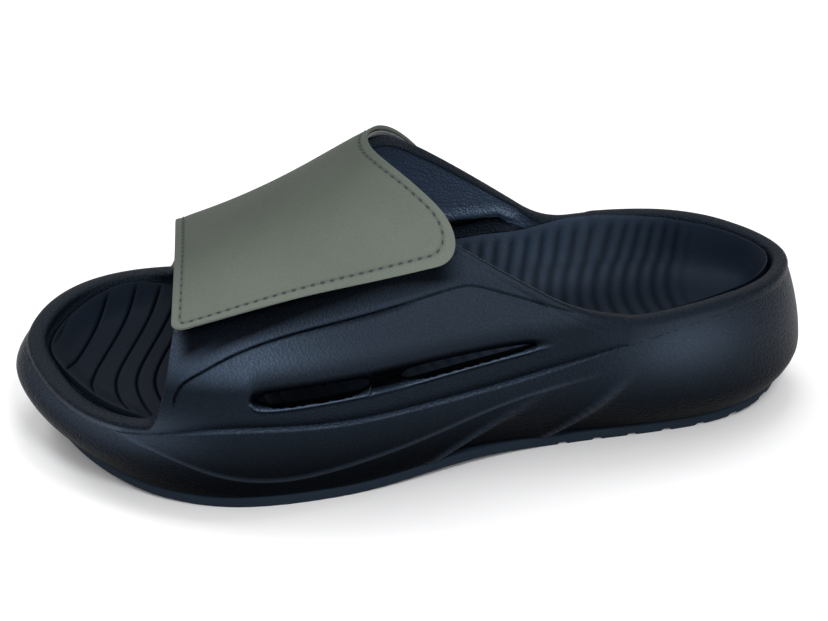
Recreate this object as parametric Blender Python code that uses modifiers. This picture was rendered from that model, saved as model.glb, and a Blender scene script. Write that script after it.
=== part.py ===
"""Slide sandal for the left foot: a moulded foam body with two side wings, a contoured
insole, a lugged rubber outsole, and a strap that is sewn to the inner wing and closed
with hook and loop tape on the outer one. Metres, X from heel to toe, Y to the outer
side of the foot, Z up, with the ground at zero."""

import bpy
import numpy as np

# Driving dimensions, in metres
LENGTH = 0.291
BALL_WIDTH = 0.120
RIM_HEIGHT = 0.056
HEEL_STACK = 0.038
INSTEP_HEIGHT = 0.097
TOE_SPRING = 0.009
HEEL_BEVEL = 0.0065
WAIST_LIFT = 0.0022
WING_WALL = 0.0040
TOE_RIM_WIDTH = 0.0070
HEEL_RIM_WIDTH = 0.0062
SHELF_WIDTH = 0.0024
LEDGE_ROUND = 0.0016
WALL_TUCK = 0.0115
WAIST_RECESS = 0.0024
RIDGE_BLEND = 0.0140
TOE_ROUND = 0.0022
HEEL_ROUND = 0.0034
WING_ROUND = 0.0014
SOLE_ROUND = 0.0010
OUTSOLE_THICKNESS = 0.0042
OUTSOLE_INSET = 0.0006
LUG_DEPTH = 0.0022
LUG_PITCH = 0.0130
LUG_GROOVE = 0.0034
LUG_CHEVRON = 0.0050
TIP_FADE = 0.030
INSOLE_THICKNESS = 0.0045
SEAT_SLOPE = 0.0012
STRAP_THICKNESS = 0.0015
LINING_THICKNESS = 0.0010
LINING_INSET = 0.0004
TAPE_THICKNESS = 0.0010
TAPE_BORDER = 0.0040
TAPE_LENGTH = 0.0200
FRONT_CORNER = 0.0055
REAR_CORNER = 0.0160
SEWN_CORNER = 0.0060
FIT_GAP = 0.0003
SLOT_HEIGHT = 0.0052

# The arch over the foot is a superellipse of this power
ARCH_POWER = 2.25
# How sharply the insole's edge turns up
CUP_POWER = 3.4

# The round heel and toe are swept about these two poles, and the crest line of the
# arch runs between them: share of LENGTH, share of half the ball width
HEEL_POLE = (0.155, 0.03)
TOE_POLE = (0.835, -0.08)

# Widest outline, from the heel round the outer side to the toe and back by the inner
# side: share of LENGTH from the heel, share of half the ball width
OUTLINE = (
    (0.000, 0.03), (0.022, 0.35), (0.080, 0.59), (0.164, 0.71),
    (0.260, 0.75), (0.363, 0.77), (0.466, 0.84), (0.568, 0.94),
    (0.664, 1.00), (0.757, 0.98), (0.839, 0.85), (0.906, 0.63),
    (0.957, 0.35), (0.988, 0.07), (1.000, -0.19), (0.985, -0.46),
    (0.943, -0.73), (0.882, -0.92), (0.806, -1.00), (0.719, -0.97),
    (0.623, -0.90), (0.514, -0.81), (0.397, -0.76), (0.281, -0.73),
    (0.164, -0.68), (0.075, -0.52), (0.022, -0.26),
)

# One row for each section of the sole and last. station: share of LENGTH; ledge and rim
# on each side: shares of RIM_HEIGHT, lower round the outer side of the toe; bed,
# cup_outer, cup_inner: shares of HEEL_STACK; crest: share of INSTEP_HEIGHT; tuck: how
# far the bottom edge lies inside the outline, share of WALL_TUCK; widest: where the wall
# is widest, share of its height under the ledge; lean: how far the wall's top lies
# inside the outline, share of LEDGE_ROUND; shelf: share of SHELF_WIDTH
COLUMNS = (
    "station", "ledge_outer", "ledge_inner", "rim_outer", "rim_inner", "bed",
    "cup_outer", "cup_inner", "crest", "tuck", "widest", "lean", "shelf",
)
SECTIONS = (
    (0.00, 0.90, 0.90, 0.96, 0.96, 1.02, 0.28, 0.28, 1.05, 0.60, 0.28, 3.4, 0.0),
    (0.12, 0.90, 0.90, 0.98, 1.00, 1.00, 0.28, 0.32, 1.10, 0.80, 0.34, 2.8, 0.0),
    (0.25, 0.78, 0.78, 0.95, 0.99, 0.98, 0.22, 0.38, 1.15, 0.85, 0.50, 1.4, 0.4),
    (0.37, 0.62, 0.62, 0.91, 0.93, 0.93, 0.12, 0.42, 1.17, 0.66, 0.66, 1.0, 1.0),
    (0.50, 0.54, 0.54, 0.76, 0.76, 0.83, 0.05, 0.34, 1.11, 0.20, 0.54, 1.0, 1.0),
    (0.62, 0.53, 0.53, 0.65, 0.65, 0.75, 0.04, 0.14, 0.91, 0.10, 0.38, 1.0, 1.0),
    (0.75, 0.56, 0.58, 0.60, 0.63, 0.71, 0.03, 0.12, 0.71, 0.16, 0.42, 1.0, 1.0),
    (0.86, 0.48, 0.62, 0.54, 0.67, 0.70, 0.02, 0.19, 0.60, 0.45, 0.58, 1.6, 0.3),
    (1.00, 0.42, 0.72, 0.50, 0.76, 0.76, 0.00, 0.08, 0.54, 0.80, 0.64, 3.2, 0.0),
)

# How fast the wall curves in under its widest line, and over it where it has no shelf
# and where it has a full one, as powers
UNDER_CURVE = 1.7
OVER_CURVE = (1.8, 3.0)

# Ground line: station, share of HEEL_BEVEL (negative) or of TOE_SPRING
GROUND = (
    (0.00, -1.00), (0.05, -0.42), (0.12, -0.04), (0.16, 0.00), (0.30, 0.00),
    (0.62, 0.00), (0.76, 0.00), (0.84, 0.13), (0.92, 0.46), (1.00, 1.00),
)
# Stations between which the waist is lifted off the ground, and the share of LENGTH to
# each side over which the ground line is smoothed
WAIST = (0.31, 0.61)
GROUND_BLEND = 0.03

# The two slanting ridges on the sole's side that bound the waist's panel: station and
# height of each one's foot, the height as a share of RIM_HEIGHT, and slope in degrees
FORE_RIDGE = (0.517, 0.036, 29.4)
AFT_RIDGE = (0.342, 0.107, 42.2)
# The panel fades out between these shares of RIM_HEIGHT
PANEL_FADE = (0.21, 0.61)

# The wings' edges in side view. foot: station where the edge leaves the rim; rise:
# height gained for each unit of length; top: share of the arch's height; blend: length
# over which the edge runs out into the rim
WINGS = {
    "outer": {"front_foot": 0.822, "front_rise": 3.6, "rear_foot": 0.282, "rear_rise": 0.70, "top": 0.93,
              "blend": 0.016},
    "inner": {"front_foot": 0.796, "front_rise": 3.6, "rear_foot": 0.310, "rear_rise": 0.81, "top": 0.975,
              "blend": 0.009},
}
# Blend length where a wing's edge turns over its top, the rise over which the rim thins
# to the wing's wall, and the least rise of any edge over the arch's base
TOP_BLEND = 0.010
WING_RISE = 0.010
EDGE_RISE = 0.0006
# Share of LENGTH from the inner wing's front foot back to the ray at its front edge
EDGE_REACH = 0.012
# The insole's seat is widest between these stations, where the thin wings bound it
SEAT_NARROW = (0.265, 0.835)
SEAT_BLEND = 0.13

# Vent slots in each wing: rear and front station, and the height of their centre line
# as a share of RIM_HEIGHT: station, outer wing, inner wing
SLOTS = (
    {"rear": 0.359, "front": 0.526, "blunt": "front"},
    {"rear": 0.564, "front": 0.698, "blunt": "both"},
)
SLOT_LINE = (
    (0.300, 0.855, 1.06), (0.363, 0.835, 1.04), (0.455, 0.802, 0.99),
    (0.530, 0.777, 0.93), (0.702, 0.753, 0.80), (0.800, 0.750, 0.78),
)
# The slots stay under this share of the way up the wing's arch
SLOT_LIMIT = 0.68

# The strap's edges: front and rear stations at the free end, at the crest and at the
# sewn end, and the height of each end edge at its front, middle and rear, as shares of
# INSTEP_HEIGHT
STRAP_SPOTS = (0.0, 0.5, 1.0)
STRAP_FRONT = (0.795, 0.785, 0.786)
STRAP_REAR = (0.424, 0.541, 0.430)
FREE_END = (0.61, 0.768, 0.843)
SEWN_END = (0.56, 0.63, 0.70)
# Stretch of the strap, as shares of its length, over which it comes down from the tapes
STEP_DOWN = (0.34, 0.66)

# Stations between which the outsole has lugs
LUG_ZONES = ((0.050, 0.330), (0.560, 0.950))
# From this station on, the grooves stop short of the sheet's edge
CLOSED_FROM = 0.50

# How finely the source's solids are cut: intervals between the named stations along
# each side, rays round each end, and the rows of each stretch of the section
SIDE_STEPS = (4, 3, 8, 2, 7, 3, 5)
HEEL_RAYS = 11
TOE_RAYS = 13
SOLE_SHARES = (0.40, 0.76)
BED_SHARES = (0.30, 0.56, 0.78, 0.92, 1.0)
WALL_SHARES = (0.0, 0.06, 0.24, 0.44, 0.66, 0.88, 1.0)
CORNER_SHARE = 0.06
CAP_SHARES = (0.10, 0.50, 0.90)
LOWER_WING_ROWS = 2
UPPER_WING_ROWS = 5
STRAP_ACROSS = (0.0, 0.06, 0.18, 0.34, 0.5, 0.66, 0.82, 0.94, 1.0)
STRAP_ROWS = 14
END_ROWS = (0.0, 0.0006, 0.0020, 0.0044, 0.0078, 0.0120)
TAPE_ROWS = 5
TAPE_ACROSS = (0.0, 0.12, 0.37, 0.63, 0.88, 1.0)
OUTSOLE_ACROSS = (-1.0, -0.90, -0.45, 0.0, 0.45, 0.90, 1.0)
OUTSOLE_TIP = (0.0003, 0.0015, 0.0036, 0.0070)
OUTSOLE_STEP = 0.0090
# Edges sharper than this many degrees stay sharp in the shading
SHARP_ANGLE = 40


def spline(knots, values, at, period=None):
    """Cubic spline through the values: natural at its ends, or closed over a period."""
    knots = np.asarray(knots, float)
    values = np.asarray(values, float)
    if period:
        knots = np.append(knots, knots[0] + period)
        values = np.append(values, values[0])
    count = len(knots)
    step = np.diff(knots)
    slope = np.diff(values) / step
    system = np.zeros((count, count))
    right = np.zeros(count)
    for i in range(1, count - 1):
        system[i, i - 1 : i + 2] = step[i - 1], 2 * (step[i - 1] + step[i]), step[i]
        right[i] = 6 * (slope[i] - slope[i - 1])
    if period:
        system[0, [0, 1, count - 2]] = 2 * (step[-1] + step[0]), step[0], step[-1]
        right[0] = 6 * (slope[0] - slope[-1])
        system[-1, [0, count - 1]] = 1, -1
        at = np.mod(np.asarray(at) - knots[0], period) + knots[0]
    else:
        system[0, 0] = system[-1, -1] = 1
        at = np.clip(at, knots[0], knots[-1])
    bend = np.linalg.solve(system, right)
    i = np.clip(np.searchsorted(knots, at, side="right") - 1, 0, count - 2)
    t = at - knots[i]
    first = slope[i] - step[i] * (2 * bend[i] + bend[i + 1]) / 6
    third = (bend[i + 1] - bend[i]) / (6 * step[i])
    return values[i] + t * first + t * t * bend[i] / 2 + t**3 * third


def smooth_step(value):
    """Zero below 0 and one above 1, with a soft rise between."""
    value = np.clip(value, 0.0, 1.0)
    return value * value * (3 - 2 * value)


def soft_min(a, b, blend):
    """The lower of two values, with their crossing rounded over the blend length."""
    share = np.clip(0.5 + 0.5 * (b - a) / blend, 0.0, 1.0)
    return b + (a - b) * share - blend * share * (1 - share)


def soft_max(a, b, blend):
    return -soft_min(-a, -b, blend)


def station_of(x):
    return np.asarray(x) / LENGTH + 0.5


def x_of(station):
    return (np.asarray(station) - 0.5) * LENGTH


def section(name, station):
    """A column of the section table, as a smooth curve along the sole."""
    rows = np.array(SECTIONS)
    return spline(rows[:, 0], rows[:, COLUMNS.index(name)], station)


def ground_height(x):
    """Underside of the outsole, from the heel bevel through the waist to the toe spring."""
    rows = np.array(GROUND)
    station = station_of(x)
    reach = np.linspace(-GROUND_BLEND, GROUND_BLEND, 9)
    lift = np.mean([np.interp(station + r, rows[:, 0], rows[:, 1]) for r in reach], axis=0)
    waist = np.sin(np.pi * np.clip((station - WAIST[0]) / (WAIST[1] - WAIST[0]), 0, 1)) ** 2
    ends = np.where(lift < 0, -lift * HEEL_BEVEL, lift * TOE_SPRING)
    return ends + waist * WAIST_LIFT


def body_bottom(x):
    return ground_height(x) + OUTSOLE_THICKNESS + FIT_GAP


def widest_outline(count=1600):
    """Dense closed outline, exactly LENGTH by BALL_WIDTH and centred on the origin."""
    points = np.array(OUTLINE) * (LENGTH, BALL_WIDTH / 2)
    chord = np.hypot(*(np.roll(points, -1, axis=0) - points).T)
    knots = np.concatenate([[0.0], np.cumsum(chord)[:-1]])
    at = np.linspace(0.0, chord.sum(), count, endpoint=False)
    curve = np.stack([spline(knots, points[:, k], at, chord.sum()) for k in (0, 1)], axis=1)
    low, high = curve.min(axis=0), curve.max(axis=0)
    return (curve - (low + high) / 2) * (np.array([LENGTH, BALL_WIDTH]) / (high - low))


def spine_y(x):
    """Sideways place of the line that the insole and the arch are measured from."""
    ends = np.array([HEEL_POLE, TOE_POLE])
    return np.interp(station_of(x), ends[:, 0], ends[:, 1]) * BALL_WIDTH / 2


def make_rays(stations, heel_count, toe_count):
    """Rays from the spine out to the outline, in order: outer side from heel to toe,
    round the toe, inner side back to the heel, round the heel. Each ray is the plane of
    one section. The sides' rays run straight across, and the ends' fan from the poles."""
    curve = widest_outline()
    split = np.argmax(curve[:, 0])
    heel = np.argmin(curve[:, 0])
    curve = np.roll(curve, -heel, axis=0)
    split = (split - heel) % len(curve)
    outer, inner = curve[: split + 1], curve[split:][::-1]
    x = x_of(stations)
    spine = spine_y(x)
    outer_reach = np.interp(x, outer[:, 0], outer[:, 1]) - spine
    inner_reach = spine - np.interp(x, inner[:, 0], inner[:, 1])

    def fan(pole_x, angles):
        pole = np.array([pole_x, spine_y(pole_x)])
        away = curve - pole
        turn = np.arctan2(away[:, 1], away[:, 0])
        order = np.argsort(turn)
        reach = np.interp(
            (angles + np.pi) % (2 * np.pi) - np.pi,
            turn[order], np.hypot(*away.T)[order], period=2 * np.pi,
        )
        return pole, reach

    toe_angles = np.linspace(np.pi / 2, -np.pi / 2, toe_count + 2)[1:-1]
    heel_angles = np.linspace(-np.pi / 2, -3 * np.pi / 2, heel_count + 2)[1:-1]
    toe_pole, toe_reach = fan(x[-1], toe_angles)
    heel_pole, heel_reach = fan(x[0], heel_angles)
    side = np.stack([x, spine], axis=1)
    foot = np.concatenate([
        side, np.tile(toe_pole, (toe_count, 1)),
        side[::-1], np.tile(heel_pole, (heel_count, 1)),
    ])
    across = np.tile([0.0, 1.0], (len(x), 1))
    away = np.concatenate([
        across, np.stack([np.cos(toe_angles), np.sin(toe_angles)], axis=1),
        -across, np.stack([np.cos(heel_angles), np.sin(heel_angles)], axis=1),
    ])
    reach = np.concatenate([outer_reach, toe_reach, inner_reach[::-1], heel_reach])
    spine_index = np.concatenate([
        np.arange(len(x)), np.full(toe_count, len(x) - 1),
        np.arange(len(x))[::-1], np.zeros(heel_count, int),
    ])
    rays = {
        "foot": foot, "away": away, "reach": reach, "spine_index": spine_index,
        "spine": side, "sides": len(x), "toe": toe_count, "heel": heel_count,
    }
    rays["station"] = station_of(foot[:, 0] + away[:, 0] * reach)
    rays["outer"] = 0.5 + 0.5 * away[:, 1]
    return rays


def by_side(rays, outer, inner):
    """Outer value on the outer side, inner on the inner side, blended round the ends."""
    return rays["outer"] * outer + (1 - rays["outer"]) * inner


def wing_edge(f, side):
    """Height of a wing's edge in side view: its front and rear edges are straight lines
    that start at the rim, and its top follows the arch."""
    wing = WINGS[side]
    front_foot = section("rim_" + side, wing["front_foot"]) * RIM_HEIGHT
    rear_foot = section("rim_" + side, wing["rear_foot"]) * RIM_HEIGHT
    front = front_foot + (x_of(wing["front_foot"]) - f["x"]) * wing["front_rise"]
    rear = rear_foot + (f["x"] - x_of(wing["rear_foot"])) * wing["rear_rise"]
    top = f["base_z"] + wing["top"] * f["arch_z"]
    edge = soft_min(soft_min(front, top, TOP_BLEND), rear, TOP_BLEND)
    return soft_max(edge, f["rim_z"], wing["blend"])


def form(rays):
    """The sizes of every ray's section, worked out once from the section table."""
    station, reach = rays["station"], rays["reach"]
    f = {name: section(name, station) for name in COLUMNS[1:]}
    f["x"] = x_of(station)
    f["reach"] = reach
    f["foot_r"] = reach - f["tuck"] * WALL_TUCK - SOLE_ROUND
    f["bottom"] = body_bottom(along(rays, f["foot_r"]))
    f["ledge_z"] = by_side(rays, f["ledge_outer"], f["ledge_inner"]) * RIM_HEIGHT
    f["rim_z"] = by_side(rays, f["rim_outer"], f["rim_inner"]) * RIM_HEIGHT
    shelf = np.clip(f["shelf"], 0, 1) * SHELF_WIDTH
    f["base_z"] = f["ledge_z"] + 0.5 * shelf
    f["arch_r"] = reach - f["lean"] * LEDGE_ROUND - shelf
    f["arch_z"] = f["crest"] * INSTEP_HEIGHT + WING_WALL - f["base_z"]
    edges = [wing_edge(f, side) for side in ("outer", "inner")]
    sideways = np.abs(rays["away"][:, 1]) > 0.999
    edge = np.where(sideways, by_side(rays, *edges), f["rim_z"])
    wing = smooth_step((edge - f["rim_z"]) / WING_RISE)
    rim_width = np.interp(station, (0.3, 0.7), (HEEL_RIM_WIDTH, TOE_RIM_WIDTH))
    rim_round = np.interp(station, (0.3, 0.7), (HEEL_ROUND, TOE_ROUND))
    narrow = smooth_step((station - SEAT_NARROW[0]) / SEAT_BLEND)
    narrow *= smooth_step((SEAT_NARROW[1] - station) / SEAT_BLEND)
    f["wall"] = rim_width + (WING_WALL - rim_width) * wing
    f["round"] = rim_round + (WING_ROUND - rim_round) * wing
    f["edge_turn"] = arch_turn(f, np.maximum(edge - f["round"], f["base_z"] + EDGE_RISE))
    line = np.array(SLOT_LINE)
    slot_z = [spline(line[:, 0], line[:, column], station) for column in (1, 2)]
    slot_turn = arch_turn(f, by_side(rays, *slot_z) * RIM_HEIGHT)
    slot_turn = np.minimum(slot_turn, SLOT_LIMIT * f["edge_turn"])
    f["slot_turn"] = np.where(sideways, slot_turn, 0.5 * f["edge_turn"])
    f["cup"] = by_side(rays, f["cup_outer"], f["cup_inner"]) * HEEL_STACK
    width = rim_width + (WING_WALL - rim_width) * narrow
    f["seat_r"] = f["arch_r"] - width
    f["seat_r"] = inner_radius(f, bed_height(rays, f, 1.0), width) - SEAT_SLOPE
    f["seat_z"] = bed_height(rays, f, 1.0)
    return f


def along(rays, radius):
    """X of the point at this radius on each ray."""
    return rays["foot"][:, 0] + rays["away"][:, 0] * radius


def bed_height(rays, f, share):
    """Top of the insole at a share of the way from the spine to its edge: level in the
    middle, and turned up at the edge as a cup."""
    x = along(rays, f["seat_r"] * share)
    return section("bed", station_of(x)) * HEEL_STACK + f["cup"] * share**CUP_POWER


def arch_turn(f, z):
    """Angle on the wing's outer arch, from 0 at its base, where it has the height z."""
    rise = np.clip((z - f["base_z"]) / f["arch_z"], 0.0, 1.0)
    return np.arcsin(rise ** (ARCH_POWER / 2))


def arch_point(f, turn, depth=0.0):
    """Radius and height on the arch, depth inside the wing's outer surface."""
    radius = (f["arch_r"] - depth) * np.cos(turn) ** (2 / ARCH_POWER)
    height = f["base_z"] + (f["arch_z"] - depth) * np.sin(turn) ** (2 / ARCH_POWER)
    return radius, height


def slot_half_turn(f, slot):
    """Half the slot's opening as an angle of the arch: full at a blunt end, thin at a
    pointed one, and zero outside the slot."""
    share = (f["x"] - x_of(slot["rear"])) / (x_of(slot["front"]) - x_of(slot["rear"]))
    share = np.clip(share, 0.0, 1.0)
    if slot["blunt"] == "both":
        profile = (1 - np.abs(2 * share - 1) ** 6) ** 0.5
    else:
        profile = share**0.55 * (1 - share**14) ** 0.5
    above = arch_turn(f, arch_point(f, f["slot_turn"])[1] + profile * SLOT_HEIGHT / 2)
    return np.where(profile > 1e-6, above - f["slot_turn"], 0.0)


def behind_ridge(ridge, x, z):
    """Distance of a point on the wall behind a slanting ridge, square to it."""
    station, height, slope = ridge
    slope = np.radians(slope)
    return (x_of(station) - x) * np.sin(slope) - (z - height * RIM_HEIGHT) * np.cos(slope)


def wall_recess(x, z):
    """Depth of the waist's panel, which lies between two slanting ridges on the wall."""
    fore = smooth_step(behind_ridge(FORE_RIDGE, x, z) / RIDGE_BLEND)
    aft = smooth_step(behind_ridge(AFT_RIDGE, x, z) / RIDGE_BLEND)
    low, high = PANEL_FADE
    fade = smooth_step((z / RIM_HEIGHT - low) / (high - low))
    return WAIST_RECESS * fore * (1 - aft) * (1 - fade)


def wall_point(rays, f, share):
    """Radius and height on the sole's side, from the bottom edge (0) to the ledge (1):
    two curves that meet at the widest line, and the recess of the waist."""
    height = f["bottom"] + share * (f["ledge_z"] - f["bottom"])
    under = np.clip(1 - share / f["widest"], 0, 1)
    over = np.clip((share - f["widest"]) / (1 - f["widest"]), 0, 1)
    sharp = np.interp(f["shelf"], (0, 1), OVER_CURVE)
    inset = f["tuck"] * WALL_TUCK * under**UNDER_CURVE + f["lean"] * LEDGE_ROUND * over**sharp
    corner = SOLE_ROUND * max(0.0, 1 - share / CORNER_SHARE) ** 2
    return f["reach"] - inset - corner - wall_recess(f["x"], height), height


def cap_point(f, share):
    """Over the rounded edge of the rim or wing, from its outer face (0) to its inner
    face (1)."""
    start = np.array(arch_point(f, f["edge_turn"]))
    end = np.array(arch_point(f, f["edge_turn"], f["wall"]))
    chord = end - start
    up = np.array([chord[1], -chord[0]]) / np.hypot(*chord)
    bulge = (1 - abs(2 * share - 1) ** 3) ** (1 / 3)
    return start + chord * share + up * f["round"] * bulge


def inner_radius(f, height, depth):
    """Radius of the arch's inner face at this height, depth inside its outer face."""
    rise = np.clip((height - f["base_z"]) / (f["arch_z"] - depth), 0, 1)
    return arch_point(f, np.arcsin(rise ** (ARCH_POWER / 2)), depth)[0]


def inner_point(f, share):
    """Down the inner face from the slot's line (0) to the insole's edge (1)."""
    top = arch_point(f, f["slot_turn"], f["wall"])[1]
    height = top + (f["seat_z"] - top) * share
    shift = f["seat_r"] - inner_radius(f, f["seat_z"], f["wall"])
    return inner_radius(f, height, f["wall"]) + shift * share**2, height


def strap_point(b, t, lift, pull=(0.0, 0.0)):
    """Points of the strap's surface. b: 0 at its front edge and 1 at its rear edge; t: 0
    at the free end, one half on the crest, 1 at the sewn end. lift: height over the
    outer and inner wing; pull: how far the front and rear edges are drawn in."""
    front = x_of(spline(STRAP_SPOTS, STRAP_FRONT, t)) - pull[0]
    rear = x_of(spline(STRAP_SPOTS, STRAP_REAR, t)) + pull[1]
    x = front + (rear - front) * b
    f = form(make_rays(station_of(x), 0, 0))
    count = len(x)
    on_outer = t < 0.5
    pick = np.where(on_outer, np.arange(count), 2 * count - 1 - np.arange(count))
    arch = {name: f[name][pick] for name in ("arch_r", "arch_z", "base_z")}
    end = np.where(on_outer, spline(STRAP_SPOTS, FREE_END, b), spline(STRAP_SPOTS, SEWN_END, b))
    start = arch_turn(arch, end * INSTEP_HEIGHT)
    turn = start + (np.pi / 2 - start) * (1 - np.abs(2 * t - 1))
    down = smooth_step((t - STEP_DOWN[0]) / (STEP_DOWN[1] - STEP_DOWN[0]))
    radius, height = arch_point(arch, turn, -(lift[0] + (lift[1] - lift[0]) * down))
    y = spine_y(x) + np.where(on_outer, radius, -radius)
    return np.column_stack([x, y, height])


def strap_line():
    """Shares t along the strap's middle line, and their distances from its free end."""
    t = np.linspace(0, 1, 241)
    points = strap_point(np.full(t.shape, 0.5), t, (0.0, 0.0))
    steps = np.linalg.norm(np.diff(points, axis=0), axis=1)
    return t, np.concatenate([[0.0], np.cumsum(steps)])


def corner_pull(distance, radius):
    """How far a round corner draws the edge in, at this distance from the end."""
    inside = np.clip(radius - distance, 0, radius)
    return radius - np.sqrt(radius**2 - inside**2)


def strap_sheet(distances, across, border, lift):
    """Grid of points at these distances from the strap's free end, inside its outline
    by the border."""
    t, length = strap_line()
    distances = np.asarray(distances)
    from_free = distances - border
    from_sewn = length[-1] - border - distances
    sewn = corner_pull(from_sewn, SEWN_CORNER)
    front = border + corner_pull(from_free, max(FRONT_CORNER - border, FIT_GAP)) + sewn
    rear = border + corner_pull(from_free, REAR_CORNER - border) + sewn
    rows, columns = len(distances), len(across)
    points = strap_point(
        np.tile(across, rows), np.repeat(np.interp(distances, length, t), columns), lift,
        (np.repeat(front, columns), np.repeat(rear, columns)),
    )
    return points.reshape(rows, columns, 3)


class Skin:
    """Collects the vertices and faces of one closed mesh, made of rows of points."""

    def __init__(self):
        self.points = []
        self.faces = []

    def row(self, points):
        first = len(self.points)
        self.points.extend(map(tuple, points))
        return np.arange(first, len(self.points))

    def join(self, lower, upper, where=None):
        """Faces between two rows that close on themselves; where picks their columns."""
        after = np.roll(np.arange(len(lower)), -1)
        for i, j in enumerate(after):
            if where is None or where[i]:
                face = dict.fromkeys((lower[i], upper[i], upper[j], lower[j]))
                if len(face) > 2:
                    self.faces.append([int(v) for v in face])

    def mesh(self, name):
        mesh = bpy.data.meshes.new(name)
        mesh.from_pydata(self.points, [], self.faces)
        mesh.update()
        return mesh


def ray_points(rays, radius, height):
    plan = rays["foot"] + rays["away"] * np.asarray(radius)[:, None]
    return np.column_stack([plan, np.broadcast_to(height, len(plan))])


def spine_row(skin, rays, heights):
    """The row where the rays of both sides meet: one vertex for each spine point."""
    row = skin.row(np.column_stack([rays["spine"], heights]))
    return row[rays["spine_index"]]


def side_stations():
    """Stations of the rays along the sides, with one at each place that the wings' and
    slots' shapes need."""
    rear_slot, front_slot = SLOTS
    marks = (
        HEEL_POLE[0], WINGS["outer"]["rear_foot"], rear_slot["rear"], rear_slot["front"],
        front_slot["rear"], front_slot["front"], WINGS["inner"]["front_foot"] - EDGE_REACH,
        TOE_POLE[0],
    )
    steps = [np.linspace(0, 1, count, endpoint=False) for count in SIDE_STEPS]
    # Close together at the slots' blunt ends
    steps[2] = 1 - (1 - steps[2]) ** 1.5
    steps[4] = 0.5 - 0.5 * np.cos(np.pi * steps[4])
    stations = [
        first + (last - first) * step for first, last, step in zip(marks[:-1], marks[1:], steps)
    ]
    return np.append(np.concatenate(stations), TOE_POLE[0])


def body_mesh(rays, f):
    """The moulded body: underside, side wall, wings, rounded edges, inner faces and the
    seat for the insole, skinned as one closed loop of rows, with the slots cut through
    the row that follows their centre line."""
    skin = Skin()
    here = lambda pair: skin.row(ray_points(rays, *pair))
    rows = [spine_row(skin, rays, body_bottom(rays["spine"][:, 0]))]
    for share in SOLE_SHARES:
        radius = f["foot_r"] * share
        rows.append(here((radius, body_bottom(along(rays, radius)))))
    rows += [here(wall_point(rays, f, share)) for share in WALL_SHARES]
    lower = np.arange(LOWER_WING_ROWS) / LOWER_WING_ROWS
    upper = np.arange(1, UPPER_WING_ROWS + 1) / UPPER_WING_ROWS
    rows += [here(arch_point(f, f["slot_turn"] * share)) for share in lower]

    half = sum(slot_half_turn(f, slot) for slot in SLOTS)
    half = np.minimum(half, 0.8 * np.minimum(f["slot_turn"], f["edge_turn"] - f["slot_turn"]))
    opened = half > 0
    tunnel = opened | np.roll(opened, -1)

    def slot_rows(depth):
        """The slot's lower and upper lips on one face; they are one row elsewhere."""
        low = here(arch_point(f, f["slot_turn"] - half, depth))
        high = low.copy()
        lip = ray_points(rays, *arch_point(f, f["slot_turn"] + half, depth))
        high[opened] = skin.row(lip[opened])
        return low, high

    outer_low, outer_high = slot_rows(0.0)
    rows.append(outer_low)
    for first, second in zip(rows[:-1], rows[1:]):
        skin.join(first, second)
    spread = f["edge_turn"] - f["slot_turn"]
    over = [outer_high]
    over += [here(arch_point(f, f["slot_turn"] + spread * share)) for share in upper]
    over += [here(cap_point(f, share)) for share in CAP_SHARES]
    over += [here(arch_point(f, f["slot_turn"] + spread * share, f["wall"])) for share in upper[::-1]]
    inner_low, inner_high = slot_rows(f["wall"])
    over.append(inner_high)
    for first, second in zip(over[:-1], over[1:]):
        skin.join(first, second)
    skin.join(outer_low, inner_low, tunnel)
    skin.join(inner_high, outer_high, tunnel)
    down = [inner_low, here(inner_point(f, 0.5)), here(inner_point(f, 1.0))]
    for share in BED_SHARES[::-1]:
        height = bed_height(rays, f, share) - INSOLE_THICKNESS - FIT_GAP
        down.append(here((f["seat_r"] * share, height)))
    centre = section("bed", station_of(rays["spine"][:, 0])) * HEEL_STACK
    down.append(spine_row(skin, rays, centre - INSOLE_THICKNESS - FIT_GAP))
    for first, second in zip(down[:-1], down[1:]):
        skin.join(first, second)
    return skin.mesh("body")


def insole_mesh(rays, f):
    """The footbed: one thickness all over, with its edge just inside the body's seat."""
    skin = Skin()
    centre = section("bed", station_of(rays["spine"][:, 0])) * HEEL_STACK
    rows = [spine_row(skin, rays, centre - INSOLE_THICKNESS)]
    for drop, order in ((INSOLE_THICKNESS, BED_SHARES), (0.0, BED_SHARES[::-1])):
        for share in order:
            radius = (f["seat_r"] - FIT_GAP) * share
            rows.append(skin.row(ray_points(rays, radius, bed_height(rays, f, share) - drop)))
    rows.append(spine_row(skin, rays, centre))
    for first, second in zip(rows[:-1], rows[1:]):
        skin.join(first, second)
    return skin.mesh("insole")


def sheet_mesh(name, grid):
    """Open surface through a grid of points, facing away from the foot."""
    rows, columns = grid.shape[:2]
    index = np.arange(rows * columns).reshape(rows, columns)
    faces = np.stack(
        [index[:-1, :-1], index[:-1, 1:], index[1:, 1:], index[1:, :-1]], axis=-1
    ).reshape(-1, 4)
    mesh = bpy.data.meshes.new(name)
    mesh.from_pydata(grid.reshape(-1, 3).tolist(), [], faces.tolist())
    mesh.update()
    return mesh


def strap_rows(border):
    """Distances of the strap's rows: close together at its ends' round corners."""
    girth = strap_line()[1][-1]
    ends = np.array(END_ROWS)
    middle = np.linspace(REAR_CORNER, girth - SEWN_CORNER - border, STRAP_ROWS)
    sewn = girth - border - ends[ends < SEWN_CORNER][::-1]
    return np.concatenate([border + ends, middle, sewn[sewn > middle[-1] + FIT_GAP]])


def tape_rows():
    near = [TAPE_BORDER + d for d in END_ROWS]
    far = TAPE_BORDER + TAPE_LENGTH
    return np.append(near, np.linspace(near[-1], far, TAPE_ROWS)[1:])


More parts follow.
